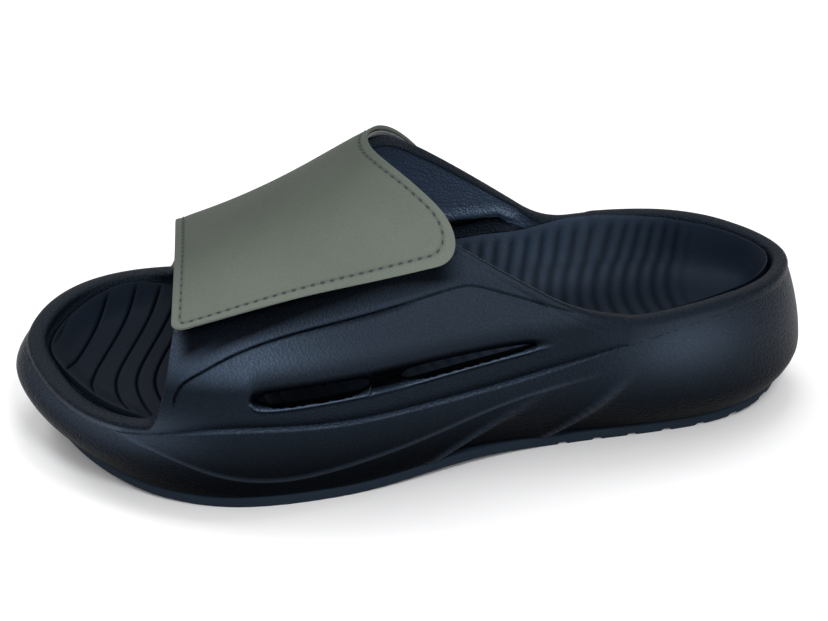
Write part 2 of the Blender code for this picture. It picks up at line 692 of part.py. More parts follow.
def outsole_stations(heel, toe):
    """X of the outsole's cross rows with the depth cut into each: four rows to a groove,
    even steps over the smooth waist, and close rows at the round tips."""
    rows = [(heel + d, 0.0) for d in OUTSOLE_TIP]
    wall = LUG_GROOVE / 6
    for first, last in LUG_ZONES:
        grooves = np.arange(x_of(first), x_of(last), LUG_PITCH)
        if rows[-1][0] < grooves[0] - OUTSOLE_STEP:
            for x in np.arange(rows[-1][0] + OUTSOLE_STEP, grooves[0] - OUTSOLE_STEP / 2, OUTSOLE_STEP):
                rows.append((x, 0.0))
        for x in grooves:
            rows.append((x, 0.0))
            rows.append((x + wall, LUG_DEPTH))
            rows.append((x + LUG_GROOVE - wall, LUG_DEPTH))
            rows.append((x + LUG_GROOVE, 0.0))
    rows += [(toe - d, 0.0) for d in OUTSOLE_TIP[::-1]]
    return np.array(rows).T


def outsole_mesh(rays, f):
    """The rubber under the body: cross rows from heel to toe, level from side to side,
    with lugs and chevron grooves under the heel and the ball of the foot."""
    edge = ray_points(rays, f["foot_r"] + SOLE_ROUND - OUTSOLE_INSET, 0.0)[:, :2]
    dense = np.argsort(edge[:, 0])
    heel, toe = edge[dense[0], 0], edge[dense[-1], 0]
    upper = edge[:, 1] > np.interp(edge[:, 0], (heel, toe), edge[dense[[0, -1]], 1])
    tips = edge[dense[[0, -1]]]

    def side(keep):
        line = np.vstack([edge[keep], tips])
        return line[np.argsort(line[:, 0])].T

    outer, inner = side(upper), side(~upper)
    x, cut = outsole_stations(heel, toe)
    bow = LUG_CHEVRON * smooth_step((x - heel) / TIP_FADE) * smooth_step((toe - x) / TIP_FADE)
    skin = Skin()
    rings = []
    for x_here, cut_here, bow_here in zip(x, cut, bow):
        top, bottom = [], []
        for share in OUTSOLE_ACROSS:
            at = x_here + bow_here * (1 - abs(share))
            low, high = np.interp(at, *inner), np.interp(at, *outer)
            y = low + (high - low) * (share + 1) / 2
            top.append((at, y, body_bottom(at) - FIT_GAP))
            closed = abs(share) == 1 and station_of(x_here) > CLOSED_FROM
            bottom.append((at, y, ground_height(at) + (0.0 if closed else cut_here)))
        rings.append(skin.row(top + bottom[::-1]))
    for first, second in zip(rings[:-1], rings[1:]):
        skin.join(first, second)
    skin.faces.append([int(v) for v in rings[0]])
    skin.faces.append([int(v) for v in rings[-1][::-1]])
    return skin.mesh("outsole")


def make_material(name, colour, roughness):
    """Principled material from an sRGB colour on the 0 to 255 scale."""
    material = bpy.data.materials.new(name)
    material.use_nodes = True
    shader = material.node_tree.nodes["Principled BSDF"]
    value = np.array(colour) / 255
    linear = np.where(value <= 0.04045, value / 12.92, ((value + 0.055) / 1.055) ** 2.4)
    shader.inputs["Base Color"].default_value = (*linear, 1.0)
    shader.inputs["Roughness"].default_value = roughness
    shader.inputs["Metallic"].default_value = 0.0
    return material


def main():
    for thing in list(bpy.data.objects):
        bpy.data.objects.remove(thing)
    collection = bpy.data.collections.new("slide_sandal")
    bpy.context.scene.collection.children.link(collection)
    root = bpy.data.objects.new("slide_sandal", None)
    collection.objects.link(root)

    def add(name, mesh, colour, roughness, thickness=0.0):
        mesh.shade_smooth()
        mesh.set_sharp_from_angle(angle=np.radians(SHARP_ANGLE))
        mesh.materials.append(make_material(name, colour, roughness))
        thing = bpy.data.objects.new(name, mesh)
        thing.parent = root
        collection.objects.link(thing)
        if thickness:
            shell = thing.modifiers.new("thickness", "SOLIDIFY")
            shell.thickness = thickness
            shell.offset = 1.0

    rays = make_rays(side_stations(), HEEL_RAYS, TOE_RAYS)
    f = form(rays)
    add("foam_body", body_mesh(rays, f), (32, 41, 54), 0.50)
    add("insole", insole_mesh(rays, f), (29, 37, 48), 0.62)
    add("outsole", outsole_mesh(rays, f), (40, 48, 58), 0.60)

    on_patch = FIT_GAP
    on_hook = on_patch + TAPE_THICKNESS + FIT_GAP
    on_lining = (on_hook + TAPE_THICKNESS + FIT_GAP, 2 * FIT_GAP)
    on_strap = tuple(lift + LINING_THICKNESS + FIT_GAP for lift in on_lining)
    strap = strap_sheet(strap_rows(0.0), STRAP_ACROSS, 0.0, on_strap)
    lining = strap_sheet(strap_rows(LINING_INSET), STRAP_ACROSS, LINING_INSET, on_lining)
    hook = strap_sheet(tape_rows(), TAPE_ACROSS, TAPE_BORDER, (on_hook, on_hook))
    patch = strap_sheet(tape_rows(), TAPE_ACROSS, TAPE_BORDER, (on_patch, on_patch))
    add("strap", sheet_mesh("strap", strap), (100, 107, 99), 0.62, STRAP_THICKNESS)
    add("strap_lining", sheet_mesh("strap_lining", lining), (17, 20, 26), 0.90, LINING_THICKNESS)
    add("hook_tape", sheet_mesh("hook_tape", hook), (15, 17, 21), 0.80, TAPE_THICKNESS)
    add("loop_patch", sheet_mesh("loop_patch", patch), (20, 24, 31), 0.95, TAPE_THICKNESS)


main()
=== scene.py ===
"""Finish of a slide sandal: fine surfaces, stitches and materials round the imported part.

Metres, X from heel to toe, Y to the outer side of the left foot, Z up."""

import bmesh
import bpy
import numpy as np
from bpy.props import FloatProperty, FloatVectorProperty, PointerProperty
from mathutils import Matrix, Vector


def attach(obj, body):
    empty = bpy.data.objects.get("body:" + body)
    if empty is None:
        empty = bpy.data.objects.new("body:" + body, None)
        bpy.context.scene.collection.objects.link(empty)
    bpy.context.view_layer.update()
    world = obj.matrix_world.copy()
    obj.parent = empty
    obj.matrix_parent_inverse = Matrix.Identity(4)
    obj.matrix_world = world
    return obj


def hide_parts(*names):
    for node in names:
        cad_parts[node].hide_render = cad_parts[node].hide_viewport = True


bl_info = {
    "name": "Slide Sandal Finish",
    "version": (1, 0, 0),
    "blender": (4, 5, 0),
    "location": "3D View > Sidebar > Sandal",
    "description": "Foam, footbed, strap, stitches and studio for a slide sandal",
    "category": "Object",
}

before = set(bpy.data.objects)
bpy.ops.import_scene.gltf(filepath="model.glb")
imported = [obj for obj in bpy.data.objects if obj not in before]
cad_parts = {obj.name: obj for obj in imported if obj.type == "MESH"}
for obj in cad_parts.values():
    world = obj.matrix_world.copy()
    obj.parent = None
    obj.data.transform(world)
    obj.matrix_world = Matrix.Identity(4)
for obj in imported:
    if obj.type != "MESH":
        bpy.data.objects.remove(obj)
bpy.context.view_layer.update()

# The shoe's own sizes
LENGTH = 0.291
BALL_WIDTH = 0.120
RIM_HEIGHT = 0.056
HEEL_STACK = 0.038
INSTEP_HEIGHT = 0.097
TOE_SPRING = 0.009
HEEL_BEVEL = 0.0065
WAIST_LIFT = 0.0022
WING_WALL = 0.0040
TOE_RIM_WIDTH = 0.0070
HEEL_RIM_WIDTH = 0.0062
SHELF_WIDTH = 0.0024
LEDGE_ROUND = 0.0016
WALL_TUCK = 0.0115
WAIST_RECESS = 0.0024
TOE_ROUND = 0.0022
HEEL_ROUND = 0.0034
WING_ROUND = 0.0014
SOLE_ROUND = 0.0010
OUTSOLE_THICKNESS = 0.0042
OUTSOLE_INSET = 0.0006
LUG_DEPTH = 0.0022
LUG_PITCH = 0.0130
LUG_GROOVE = 0.0034
LUG_CHEVRON = 0.0050
TIP_FADE = 0.030
INSOLE_THICKNESS = 0.0045
SEAT_SLOPE = 0.0012
STRAP_THICKNESS = 0.0015
LINING_THICKNESS = 0.0010
LINING_EDGE = 0.0003
TAPE_THICKNESS = 0.0010
TAPE_BORDER = 0.0040
TAPE_LENGTH = 0.0200
FRONT_CORNER = 0.0055
REAR_CORNER = 0.0160
SEWN_CORNER = 0.0060
FIT_GAP = 0.0003
SLOT_HEIGHT = 0.0052

# The arch over the foot is a superellipse of this power
ARCH_POWER = 2.25
# How sharply the insole's edge turns up
CUP_POWER = 3.4
# The round heel and toe are swept about these poles: share of LENGTH, of half the width
HEEL_POLE = (0.155, 0.03)
TOE_POLE = (0.835, -0.08)

# Widest outline, from the heel round the outer side to the toe and back by the inner
# side: share of LENGTH from the heel, share of half the ball width
OUTLINE = (
    (0.000, 0.03), (0.022, 0.35), (0.080, 0.59), (0.164, 0.71),
    (0.260, 0.75), (0.363, 0.77), (0.466, 0.84), (0.568, 0.94),
    (0.664, 1.00), (0.757, 0.98), (0.839, 0.85), (0.906, 0.63),
    (0.957, 0.35), (0.988, 0.07), (1.000, -0.19), (0.985, -0.46),
    (0.943, -0.73), (0.882, -0.92), (0.806, -1.00), (0.719, -0.97),
    (0.623, -0.90), (0.514, -0.81), (0.397, -0.76), (0.281, -0.73),
    (0.164, -0.68), (0.075, -0.52), (0.022, -0.26),
)

# One row for each section of the sole and last: station as a share of LENGTH; ledge and
# rim as shares of RIM_HEIGHT; bed and cups of HEEL_STACK; crest of INSTEP_HEIGHT; tuck
# of WALL_TUCK; widest as a share of the wall's height; lean of LEDGE_ROUND; shelf of
# SHELF_WIDTH
COLUMNS = (
    "station", "ledge_outer", "ledge_inner", "rim_outer", "rim_inner", "bed",
    "cup_outer", "cup_inner", "crest", "tuck", "widest", "lean", "shelf",
)
SECTIONS = (
    (0.00, 0.90, 0.90, 0.96, 0.96, 1.02, 0.28, 0.28, 1.05, 0.60, 0.28, 3.4, 0.0),
    (0.12, 0.90, 0.90, 0.98, 1.00, 1.00, 0.28, 0.32, 1.10, 0.80, 0.34, 2.8, 0.0),
    (0.25, 0.78, 0.78, 0.95, 0.99, 0.98, 0.22, 0.38, 1.15, 0.85, 0.50, 1.4, 0.4),
    (0.37, 0.62, 0.62, 0.91, 0.93, 0.93, 0.12, 0.42, 1.17, 0.66, 0.66, 1.0, 1.0),
    (0.50, 0.54, 0.54, 0.76, 0.76, 0.83, 0.05, 0.34, 1.11, 0.20, 0.54, 1.0, 1.0),
    (0.62, 0.53, 0.53, 0.65, 0.65, 0.75, 0.04, 0.14, 0.91, 0.10, 0.38, 1.0, 1.0),
    (0.75, 0.56, 0.58, 0.60, 0.63, 0.71, 0.03, 0.12, 0.71, 0.16, 0.42, 1.0, 1.0),
    (0.86, 0.48, 0.62, 0.54, 0.67, 0.70, 0.02, 0.19, 0.60, 0.45, 0.58, 1.6, 0.3),
    (1.00, 0.42, 0.72, 0.50, 0.76, 0.76, 0.00, 0.08, 0.54, 0.80, 0.64, 3.2, 0.0),
)
# How fast the wall curves in under its widest line and over it, as powers
UNDER_CURVE = 1.7
OVER_CURVE = (1.8, 3.0)

# Ground line: station, share of HEEL_BEVEL (negative) or of TOE_SPRING
GROUND = (
    (0.00, -1.00), (0.05, -0.42), (0.12, -0.04), (0.16, 0.00), (0.30, 0.00),
    (0.62, 0.00), (0.76, 0.00), (0.84, 0.13), (0.92, 0.46), (1.00, 1.00),
)
WAIST = (0.31, 0.61)
GROUND_BLEND = 0.03

# The wings' edges in side view: stations, rise for each unit of length, share of arch
WINGS = {
    "outer": {"front_foot": 0.822, "front_rise": 3.6, "rear_foot": 0.282, "rear_rise": 0.70, "top": 0.93,
              "blend": 0.016},
    "inner": {"front_foot": 0.796, "front_rise": 3.6, "rear_foot": 0.310, "rear_rise": 0.81, "top": 0.975,
              "blend": 0.009},
}
TOP_BLEND = 0.010
WING_RISE = 0.010
EDGE_RISE = 0.0006
# The ledge ends behind in a small nose: station, and the share of LENGTH it takes
SHELF_END = (0.243, 0.012)
SEAT_NARROW = (0.265, 0.835)
SEAT_BLEND = 0.13

# Vent slots: rear and front station; centre line: station, outer, inner as shares of
# RIM_HEIGHT
SLOTS = (
    {"rear": 0.359, "front": 0.526, "blunt": "front"},
    {"rear": 0.564, "front": 0.698, "blunt": "both"},
)
SLOT_LINE = (
    (0.300, 0.855, 1.06), (0.363, 0.835, 1.04), (0.455, 0.802, 0.99),
    (0.530, 0.777, 0.93), (0.702, 0.753, 0.80), (0.800, 0.750, 0.78),
)
SLOT_LIMIT = 0.68
SLOT_LEAST = 0.10
# The inner wing's vents open this share of the outer wing's
INNER_VENT = 0.55

# The strap's edges: stations at the free end, the crest and the sewn end, and the
# height of each end at its front and rear corner as shares of INSTEP_HEIGHT
STRAP_SPOTS = (0.0, 0.5, 1.0)
STRAP_FRONT = (0.795, 0.785, 0.786)
STRAP_REAR = (0.424, 0.541, 0.430)
FREE_END = (0.61, 0.768, 0.843)
SEWN_END = (0.56, 0.63, 0.70)
STEP_DOWN = (0.34, 0.66)

# Stations between which the outsole has lugs
LUG_ZONES = ((0.050, 0.330), (0.560, 0.950))
# From this station on, the grooves stop short of the sheet's edge
CLOSED_FROM = 0.50

# Creases and ridges on the sole's side, in side view: station, share of RIM_HEIGHT
LONG_CREASE = (
    (0.18, 0.72), (0.297, 0.59), (0.400, 0.48), (0.503, 0.335), (0.607, 0.235),
    (0.658, 0.205), (0.761, 0.28), (0.823, 0.41), (0.90, 0.50), (0.96, 0.54),
)
# Slanting ridges that bound the waist's panel: station, share of RIM_HEIGHT, degrees,
# and the length over which the wall turns
FORE_RIDGE = (0.517, 0.036, 29.4, 0.0030)
AFT_RIDGE = (0.342, 0.107, 42.2, 0.0030)
# Behind the aft ridge the side is hollow: depth, and length over which it rises again
HEEL_HOLLOW = (0.0016, 0.030)
# Where the waist's panel and the hollow fade out upwards, as shares of RIM_HEIGHT: the
# panel's start and end, the hollow's start and length
PANEL_FADE = (0.21, 0.61)
HOLLOW_FADE = (0.42, 0.22)

# Border line of the wing's panel, in side view: station, share of INSTEP_HEIGHT
PANEL_LINE = (
    (0.800, 0.405), (0.797, 0.445), (0.789, 0.484), (0.770, 0.522), (0.727, 0.585),
    (0.641, 0.660), (0.521, 0.720), (0.462, 0.750), (0.438, 0.752), (0.414, 0.728),
    (0.366, 0.668), (0.325, 0.618), (0.296, 0.596),
)

# The insole's grooves under the toes: y of their apex line, how tightly they turn there
# and how far they bow back; and the pitch along the foot, in metres
GROOVE_AXIS = 0.011
GROOVE_TURN = 0.012
GROOVE_BOW = 0.37
GROOVE_PITCH = (
    (-0.120, 0.0056), (0.040, 0.0056), (0.085, 0.0058), (0.100, 0.0068),
    (0.112, 0.0085), (0.140, 0.0105),
)
# Centre of the circles behind the ball, and the least radius, in metres
HEEL_CENTRE = -0.118
LEAST_RADIUS = 0.046
FIRST_GROOVE = 0.1360
LAST_GROOVE = -0.108

# How finely the pieces are cut
SIDE_COLUMNS = 196
HEEL_COLUMNS = 78
TOE_COLUMNS = 92
COLUMN_FOCUS = (
    (0.363, 0.012, 1.5), (0.530, 0.006, 4.0), (0.582, 0.006, 4.0), (0.702, 0.008, 4.0),
    (0.805, 0.020, 2.5),
)
SOLE_SHARES = (0.30, 0.60, 0.85)
SEAT_SHARES = (1.0, 0.97, 0.92, 0.84, 0.74, 0.62, 0.48, 0.32, 0.16)
WALL_ROWS = (3, 13, 6, 14, 4)
LEDGE_ROWS = 4
LOWER_ROWS = 22
UPPER_ROWS = (11, 9, 9, 6, 4)
CAP_ROWS = 12
INNER_ROWS = 20
BELOW_ROWS = 12
TUNNEL_SHARES = (0.0, 0.06, 0.15, 0.28, 0.5, 0.72, 0.85, 0.94, 1.0)
CORNER_SHARE = 0.06
INSOLE_ROWS = 430
INSOLE_COLUMNS = 61
OUTSOLE_ROWS = 620
OUTSOLE_COLUMNS = 45
# How far inside a sheet's edge its first rows lie
CLOSE_ROWS = (
    0.0, 0.00008, 0.00025, 0.0005, 0.0009, 0.0014, 0.0019, 0.0023, 0.0026, 0.0029,
    0.0032, 0.0035, 0.0038, 0.0042, 0.0048, 0.0056, 0.0066, 0.0078,
)

# Height of the lining and of the strap over the outer and over the inner wing
LINING_LIFT = (3 * FIT_GAP + 2 * TAPE_THICKNESS, 2 * FIT_GAP)
STRAP_LIFT = tuple(lift + LINING_THICKNESS + FIT_GAP for lift in LINING_LIFT)

# Fine relief, as heights and depths in metres: the lip under the vents and how far it lies
# under their opening, the rill below it, the raised lines on the slanting ridges, and the
# crease beside the wing's rear edge
VENT_LIP = 0.0009
VENT_LIP_DROP = 0.0009
VENT_RILL = 0.0005
RIDGE_LIP = 0.0010
EDGE_CREASE = 0.0004
# How far the vents' opening flares at its lips, and the most of the wall that their
# trough takes
LIP_FLARE = 0.0006
TROUGH_LIMIT = 0.72
# How steeply the rim's inner face leans out above the footbed's edge
SEAM_SLOPE = 0.55
# The strap: depth of the stitches' furrow and of the soft hollow round it, and the radius
# of its edge
FURROW_DEPTH = 0.00020
HOLLOW_DEPTH = 0.00016
STRAP_EDGE = 0.0005

# The painted light mask: over zero it darkens a place with painted shade, and under zero
# it lightens the place with a painted highlight or sheen. Painted highlights and sheen: the
# wing, more at its front; the lip under the vents; the heel's and the toe's shoulder; the
# ridges' and the crease's lines; the ledge; the inner wing's inside; the footbed's edge at the heel
WING_PAINTED_SHEEN = 1.1
FRONT_PAINTED_SHEEN = 3.6
VENT_LIP_PAINTED_HIGHLIGHT = 7.0
HEEL_PAINTED_SHEEN = 2.0
TOE_PAINTED_SHEEN = 4.0
RIDGE_PAINTED_HIGHLIGHT = 1.5
CREASE_PAINTED_HIGHLIGHT = 1.3
LEDGE_PAINTED_HIGHLIGHT = 3.2
INSIDE_PAINTED_LIGHT = 7.5
FOOTBED_PAINTED_LIGHT = 2.0
# Painted shade: at the foot of the side, in the corner over the ledge, under the strap's free
# end (and how far below it), on the footbed under the toes
FOOT_SHADE = 0.90
LEDGE_SHADE = 0.55
UNDER_STRAP_SHADE = 0.9
STRAP_SHADE = 0.0075
TOE_BED_SHADE = 0.35
# The foam's gloss is bluish, as a linear colour
GLOSS_TINT = (0.60, 0.80, 1.0, 1.0)


def spline(knots, values, at, period=None):
    """Cubic spline through the values: natural at its ends, or closed over a period."""
    knots = np.asarray(knots, float)
    values = np.asarray(values, float)
    if period:
        knots = np.append(knots, knots[0] + period)
        values = np.append(values, values[0])
    count = len(knots)
    step = np.diff(knots)
    slope = np.diff(values) / step
    system = np.zeros((count, count))
    right = np.zeros(count)
    for i in range(1, count - 1):
        system[i, i - 1 : i + 2] = step[i - 1], 2 * (step[i - 1] + step[i]), step[i]
        right[i] = 6 * (slope[i] - slope[i - 1])
    if period:
        system[0, [0, 1, count - 2]] = 2 * (step[-1] + step[0]), step[0], step[-1]
        right[0] = 6 * (slope[0] - slope[-1])
        system[-1, [0, count - 1]] = 1, -1
        at = np.mod(np.asarray(at) - knots[0], period) + knots[0]
    else:
        system[0, 0] = system[-1, -1] = 1
        at = np.clip(at, knots[0], knots[-1])
    bend = np.linalg.solve(system, right)
    i = np.clip(np.searchsorted(knots, at, side="right") - 1, 0, count - 2)
    t = at - knots[i]
    first = slope[i] - step[i] * (2 * bend[i] + bend[i + 1]) / 6
    third = (bend[i + 1] - bend[i]) / (6 * step[i])
    return values[i] + t * first + t * t * bend[i] / 2 + t**3 * third


def smooth_step(value):
    """Zero below 0 and one above 1, with a soft rise between."""
    value = np.clip(value, 0.0, 1.0)
    return value * value * (3 - 2 * value)


def bell(value, width):
    """One at zero, falling off as the normal curve."""
    return np.exp(-((value / width) ** 2))


def soft_min(a, b, blend):
    """The lower of two values, with their crossing rounded over the blend length."""
    share = np.clip(0.5 + 0.5 * (b - a) / blend, 0.0, 1.0)
    return b + (a - b) * share - blend * share * (1 - share)


def soft_max(a, b, blend):
    """The higher of two values, rounded as in soft_min."""
    return -soft_min(-a, -b, blend)


def station_of(x):
    """Share of LENGTH from the heel at this x."""
    return np.asarray(x) / LENGTH + 0.5


def x_of(station):
    """X at this share of LENGTH from the heel."""
    return (np.asarray(station) - 0.5) * LENGTH


def section(name, station):
    """A column of the section table, as a smooth curve along the sole."""
    rows = np.array(SECTIONS)
    return spline(rows[:, 0], rows[:, COLUMNS.index(name)], station)


def ground_height(x):
    """Underside of the outsole, from the heel bevel through the waist to the toe spring."""
    rows = np.array(GROUND)
    station = station_of(x)
    reach = np.linspace(-GROUND_BLEND, GROUND_BLEND, 9)
    lift = np.mean([np.interp(station + r, rows[:, 0], rows[:, 1]) for r in reach], axis=0)
    waist = np.sin(np.pi * np.clip((station - WAIST[0]) / (WAIST[1] - WAIST[0]), 0, 1)) ** 2
    ends = np.where(lift < 0, -lift * HEEL_BEVEL, lift * TOE_SPRING)
    return ends + waist * WAIST_LIFT


def body_bottom(x):
    """Underside of the moulded body: the ground line, the rubber and the gap between."""
    return ground_height(x) + OUTSOLE_THICKNESS + FIT_GAP


def widest_outline(count=1600):
    """Dense closed outline, exactly LENGTH by BALL_WIDTH and centred on the origin."""
    points = np.array(OUTLINE) * (LENGTH, BALL_WIDTH / 2)
    chord = np.hypot(*(np.roll(points, -1, axis=0) - points).T)
    knots = np.concatenate([[0.0], np.cumsum(chord)[:-1]])
    at = np.linspace(0.0, chord.sum(), count, endpoint=False)
    curve = np.stack([spline(knots, points[:, k], at, chord.sum()) for k in (0, 1)], axis=1)
    low, high = curve.min(axis=0), curve.max(axis=0)
    return (curve - (low + high) / 2) * (np.array([LENGTH, BALL_WIDTH]) / (high - low))


def spine_y(x):
    """Sideways place of the line that the insole and the arch are measured from."""
    ends = np.array([HEEL_POLE, TOE_POLE])
    return np.interp(station_of(x), ends[:, 0], ends[:, 1]) * BALL_WIDTH / 2


def make_rays(stations, heel_count, toe_count):
    """Rays from the spine out to the outline, in order: outer side from heel to toe,
    round the toe, inner side back to the heel, round the heel. The sides' rays run
    straight across, and the ends' fan from the poles."""
    curve = widest_outline()
    split = np.argmax(curve[:, 0])
    heel = np.argmin(curve[:, 0])
    curve = np.roll(curve, -heel, axis=0)
    split = (split - heel) % len(curve)
    outer, inner = curve[: split + 1], curve[split:][::-1]
    x = x_of(stations)
    spine = spine_y(x)
    outer_reach = np.interp(x, outer[:, 0], outer[:, 1]) - spine
    inner_reach = spine - np.interp(x, inner[:, 0], inner[:, 1])

    def fan(pole_x, angles):
        pole = np.array([pole_x, spine_y(pole_x)])
        away = curve - pole
        turn = np.arctan2(away[:, 1], away[:, 0])
        order = np.argsort(turn)
        reach = np.interp(
            (angles + np.pi) % (2 * np.pi) - np.pi,
            turn[order], np.hypot(*away.T)[order], period=2 * np.pi,
        )
        return pole, reach

    toe_angles = np.linspace(np.pi / 2, -np.pi / 2, toe_count + 2)[1:-1]
    heel_angles = np.linspace(-np.pi / 2, -3 * np.pi / 2, heel_count + 2)[1:-1]
    toe_pole, toe_reach = fan(x[-1], toe_angles)
    heel_pole, heel_reach = fan(x[0], heel_angles)
    side = np.stack([x, spine], axis=1)
    foot = np.concatenate([
        side, np.tile(toe_pole, (toe_count, 1)),
        side[::-1], np.tile(heel_pole, (heel_count, 1)),
    ])
    across = np.tile([0.0, 1.0], (len(x), 1))
    away = np.concatenate([
        across, np.stack([np.cos(toe_angles), np.sin(toe_angles)], axis=1),
        -across, np.stack([np.cos(heel_angles), np.sin(heel_angles)], axis=1),
    ])
    rays = {
        "foot": foot, "away": away,
        "reach": np.concatenate([outer_reach, toe_reach, inner_reach[::-1], heel_reach]),
    }
    rays["station"] = station_of(foot[:, 0] + away[:, 0] * rays["reach"])
    rays["outer"] = 0.5 + 0.5 * away[:, 1]
    return rays


def by_side(rays, outer, inner):
    """Outer value on the outer side, inner on the inner side, blended round the ends."""
    return rays["outer"] * outer + (1 - rays["outer"]) * inner


def wing_edge(f, side):
    """Height of a wing's edge in side view: its front and rear edges are straight lines
    that start at the rim, and its top follows the arch."""
    wing = WINGS[side]
    front_foot = section("rim_" + side, wing["front_foot"]) * RIM_HEIGHT
    rear_foot = section("rim_" + side, wing["rear_foot"]) * RIM_HEIGHT
    front = front_foot + (x_of(wing["front_foot"]) - f["x"]) * wing["front_rise"]
    rear = rear_foot + (f["x"] - x_of(wing["rear_foot"])) * wing["rear_rise"]
    top = f["base_z"] + wing["top"] * f["arch_z"]
    edge = soft_min(soft_min(front, top, TOP_BLEND), rear, TOP_BLEND)
    return soft_max(edge, f["rim_z"], wing["blend"])


def form(rays):
    """The sizes of every ray's section, worked out once from the section table."""
    station, reach = rays["station"], rays["reach"]
    f = {name: section(name, station) for name in COLUMNS[1:]}
    f["x"] = x_of(station)
    f["reach"] = reach
    f["foot_r"] = reach - f["tuck"] * WALL_TUCK - SOLE_ROUND
    f["bottom"] = body_bottom(along(rays, f["foot_r"]))
    f["outer"] = rays["outer"]
    f["shelf"] = f["shelf"] * smooth_step((station - SHELF_END[0]) / SHELF_END[1])
    f["ledge_z"] = by_side(rays, f["ledge_outer"], f["ledge_inner"]) * RIM_HEIGHT
    f["rim_z"] = by_side(rays, f["rim_outer"], f["rim_inner"]) * RIM_HEIGHT
    shelf = np.clip(f["shelf"], 0, 1) * SHELF_WIDTH
    f["base_z"] = f["ledge_z"] + 0.5 * shelf
    f["arch_r"] = reach - f["lean"] * LEDGE_ROUND - shelf
    f["arch_z"] = f["crest"] * INSTEP_HEIGHT + WING_WALL - f["base_z"]
    edges = [wing_edge(f, side) for side in ("outer", "inner")]
    sideways = np.abs(rays["away"][:, 1]) > 0.999
    edge = np.where(sideways, by_side(rays, *edges), f["rim_z"])
    wing = smooth_step((edge - f["rim_z"]) / WING_RISE)
    rim_width = np.interp(station, (0.3, 0.7), (HEEL_RIM_WIDTH, TOE_RIM_WIDTH))
    rim_round = np.interp(station, (0.3, 0.7), (HEEL_ROUND, TOE_ROUND))
    narrow = smooth_step((station - SEAT_NARROW[0]) / SEAT_BLEND)
    narrow *= smooth_step((SEAT_NARROW[1] - station) / SEAT_BLEND)
    f["wing"] = wing
    f["wall"] = rim_width + (WING_WALL - rim_width) * wing
    f["round"] = rim_round + (WING_ROUND - rim_round) * wing
    f["edge_turn"] = arch_turn(f, np.maximum(edge - f["round"], f["base_z"] + EDGE_RISE))
    line = np.array(SLOT_LINE)
    slot_z = [spline(line[:, 0], line[:, column], station) for column in (1, 2)]
    slot_turn = arch_turn(f, by_side(rays, *slot_z) * RIM_HEIGHT)
    slot_turn = np.clip(slot_turn, SLOT_LEAST * f["edge_turn"], SLOT_LIMIT * f["edge_turn"])
    f["slot_turn"] = np.where(sideways, slot_turn, 0.5 * f["edge_turn"])
    f["cup"] = by_side(rays, f["cup_outer"], f["cup_inner"]) * HEEL_STACK
    width = rim_width + (WING_WALL - rim_width) * narrow
    f["seat_r"] = f["arch_r"] - width
    f["seat_r"] = inner_radius(f, bed_height(rays, f, 1.0), width) - SEAT_SLOPE
    f["seat_z"] = bed_height(rays, f, 1.0)
    return f


def along(rays, radius):
    """X of the point at this radius on each ray."""
    return rays["foot"][:, 0] + rays["away"][:, 0] * radius


def bed_height(rays, f, share):
    """Top of the insole at a share of the way from the spine to its edge: level in the
    middle, and turned up at the edge as a cup."""
    x = along(rays, f["seat_r"] * share)
    return section("bed", station_of(x)) * HEEL_STACK + f["cup"] * share**CUP_POWER


def arch_turn(f, z):
    """Angle on the wing's outer arch, from 0 at its base, where it has the height z."""
    rise = np.clip((z - f["base_z"]) / f["arch_z"], 0.0, 1.0)
    return np.arcsin(rise ** (ARCH_POWER / 2))


def arch_point(f, turn, depth=0.0):
    """Radius and height on the arch, depth inside the wing's outer surface: the
    superellipse cos^(2/p), sin^(2/p) of the section's half width and height."""
    radius = (f["arch_r"] - depth) * np.cos(turn) ** (2 / ARCH_POWER)
    height = f["base_z"] + (f["arch_z"] - depth) * np.sin(turn) ** (2 / ARCH_POWER)
    return radius, height


def inner_radius(f, height, depth):
    """Radius of the arch's inner face at this height, depth inside its outer face."""
    rise = np.clip((height - f["base_z"]) / (f["arch_z"] - depth), 0, 1)
    return arch_point(f, np.arcsin(rise ** (ARCH_POWER / 2)), depth)[0]


def slot_half_height(f, slot):
    """Half the slot's opening as a height: full at a blunt end, thin at a pointed one."""
    share = (f["x"] - x_of(slot["rear"])) / (x_of(slot["front"]) - x_of(slot["rear"]))
    share = np.clip(share, 0.0, 1.0)
    if slot["blunt"] == "both":
        profile = (1 - np.abs(2 * share - 1) ** 6) ** 0.5
    else:
        profile = share**0.55 * (1 - share**14) ** 0.5
    return profile * SLOT_HEIGHT / 2


def behind_ridge(ridge, x, z):
    """Distance of a point on the wall behind a slanting ridge, square to it."""
    station, height, slope = ridge[:3]
    slope = np.radians(slope)
    return (x_of(station) - x) * np.sin(slope) - (z - height * RIM_HEIGHT) * np.cos(slope)


def wall_relief(x, z):
    """How deep the sole's side lies. Behind each slanting ridge it drops and rises
    again as a saw tooth, and under the long crease it steps in and fades out."""
    sizes = bpy.context.scene.sandal_sizes
    fore, aft = behind_ridge(FORE_RIDGE, x, z), behind_ridge(AFT_RIDGE, x, z)
    along_panel = np.clip(fore / np.maximum(fore - aft, 1e-4), 0, 1)
    fade, heel_fade = upward_fades(z)
    drop = smooth_step(fore / FORE_RIDGE[3]) * (1 - along_panel) ** 0.8
    panel = WAIST_RECESS * drop * fade
    hollow = smooth_step(aft / AFT_RIDGE[3]) * (1 - smooth_step(aft / HEEL_HOLLOW[1]))
    panel = panel + HEEL_HOLLOW[0] * hollow * heel_fade
    lips, lip, under, ends = side_lines(x, z)
    step = smooth_step(under / 0.0007) * (1 - smooth_step((under - 0.001) / 0.011))
    return panel - RIDGE_LIP * lips + ends * sizes.crease_step * (step - 0.45 * lip)


def upward_fades(z):
    """One low on the side and zero above: for the waist's panel and the heel's hollow."""
    low, high = PANEL_FADE
    start, length = HOLLOW_FADE
    rise = z / RIM_HEIGHT
    return 1 - smooth_step((rise - low) / (high - low)), 1 - smooth_step((rise - start) / length)


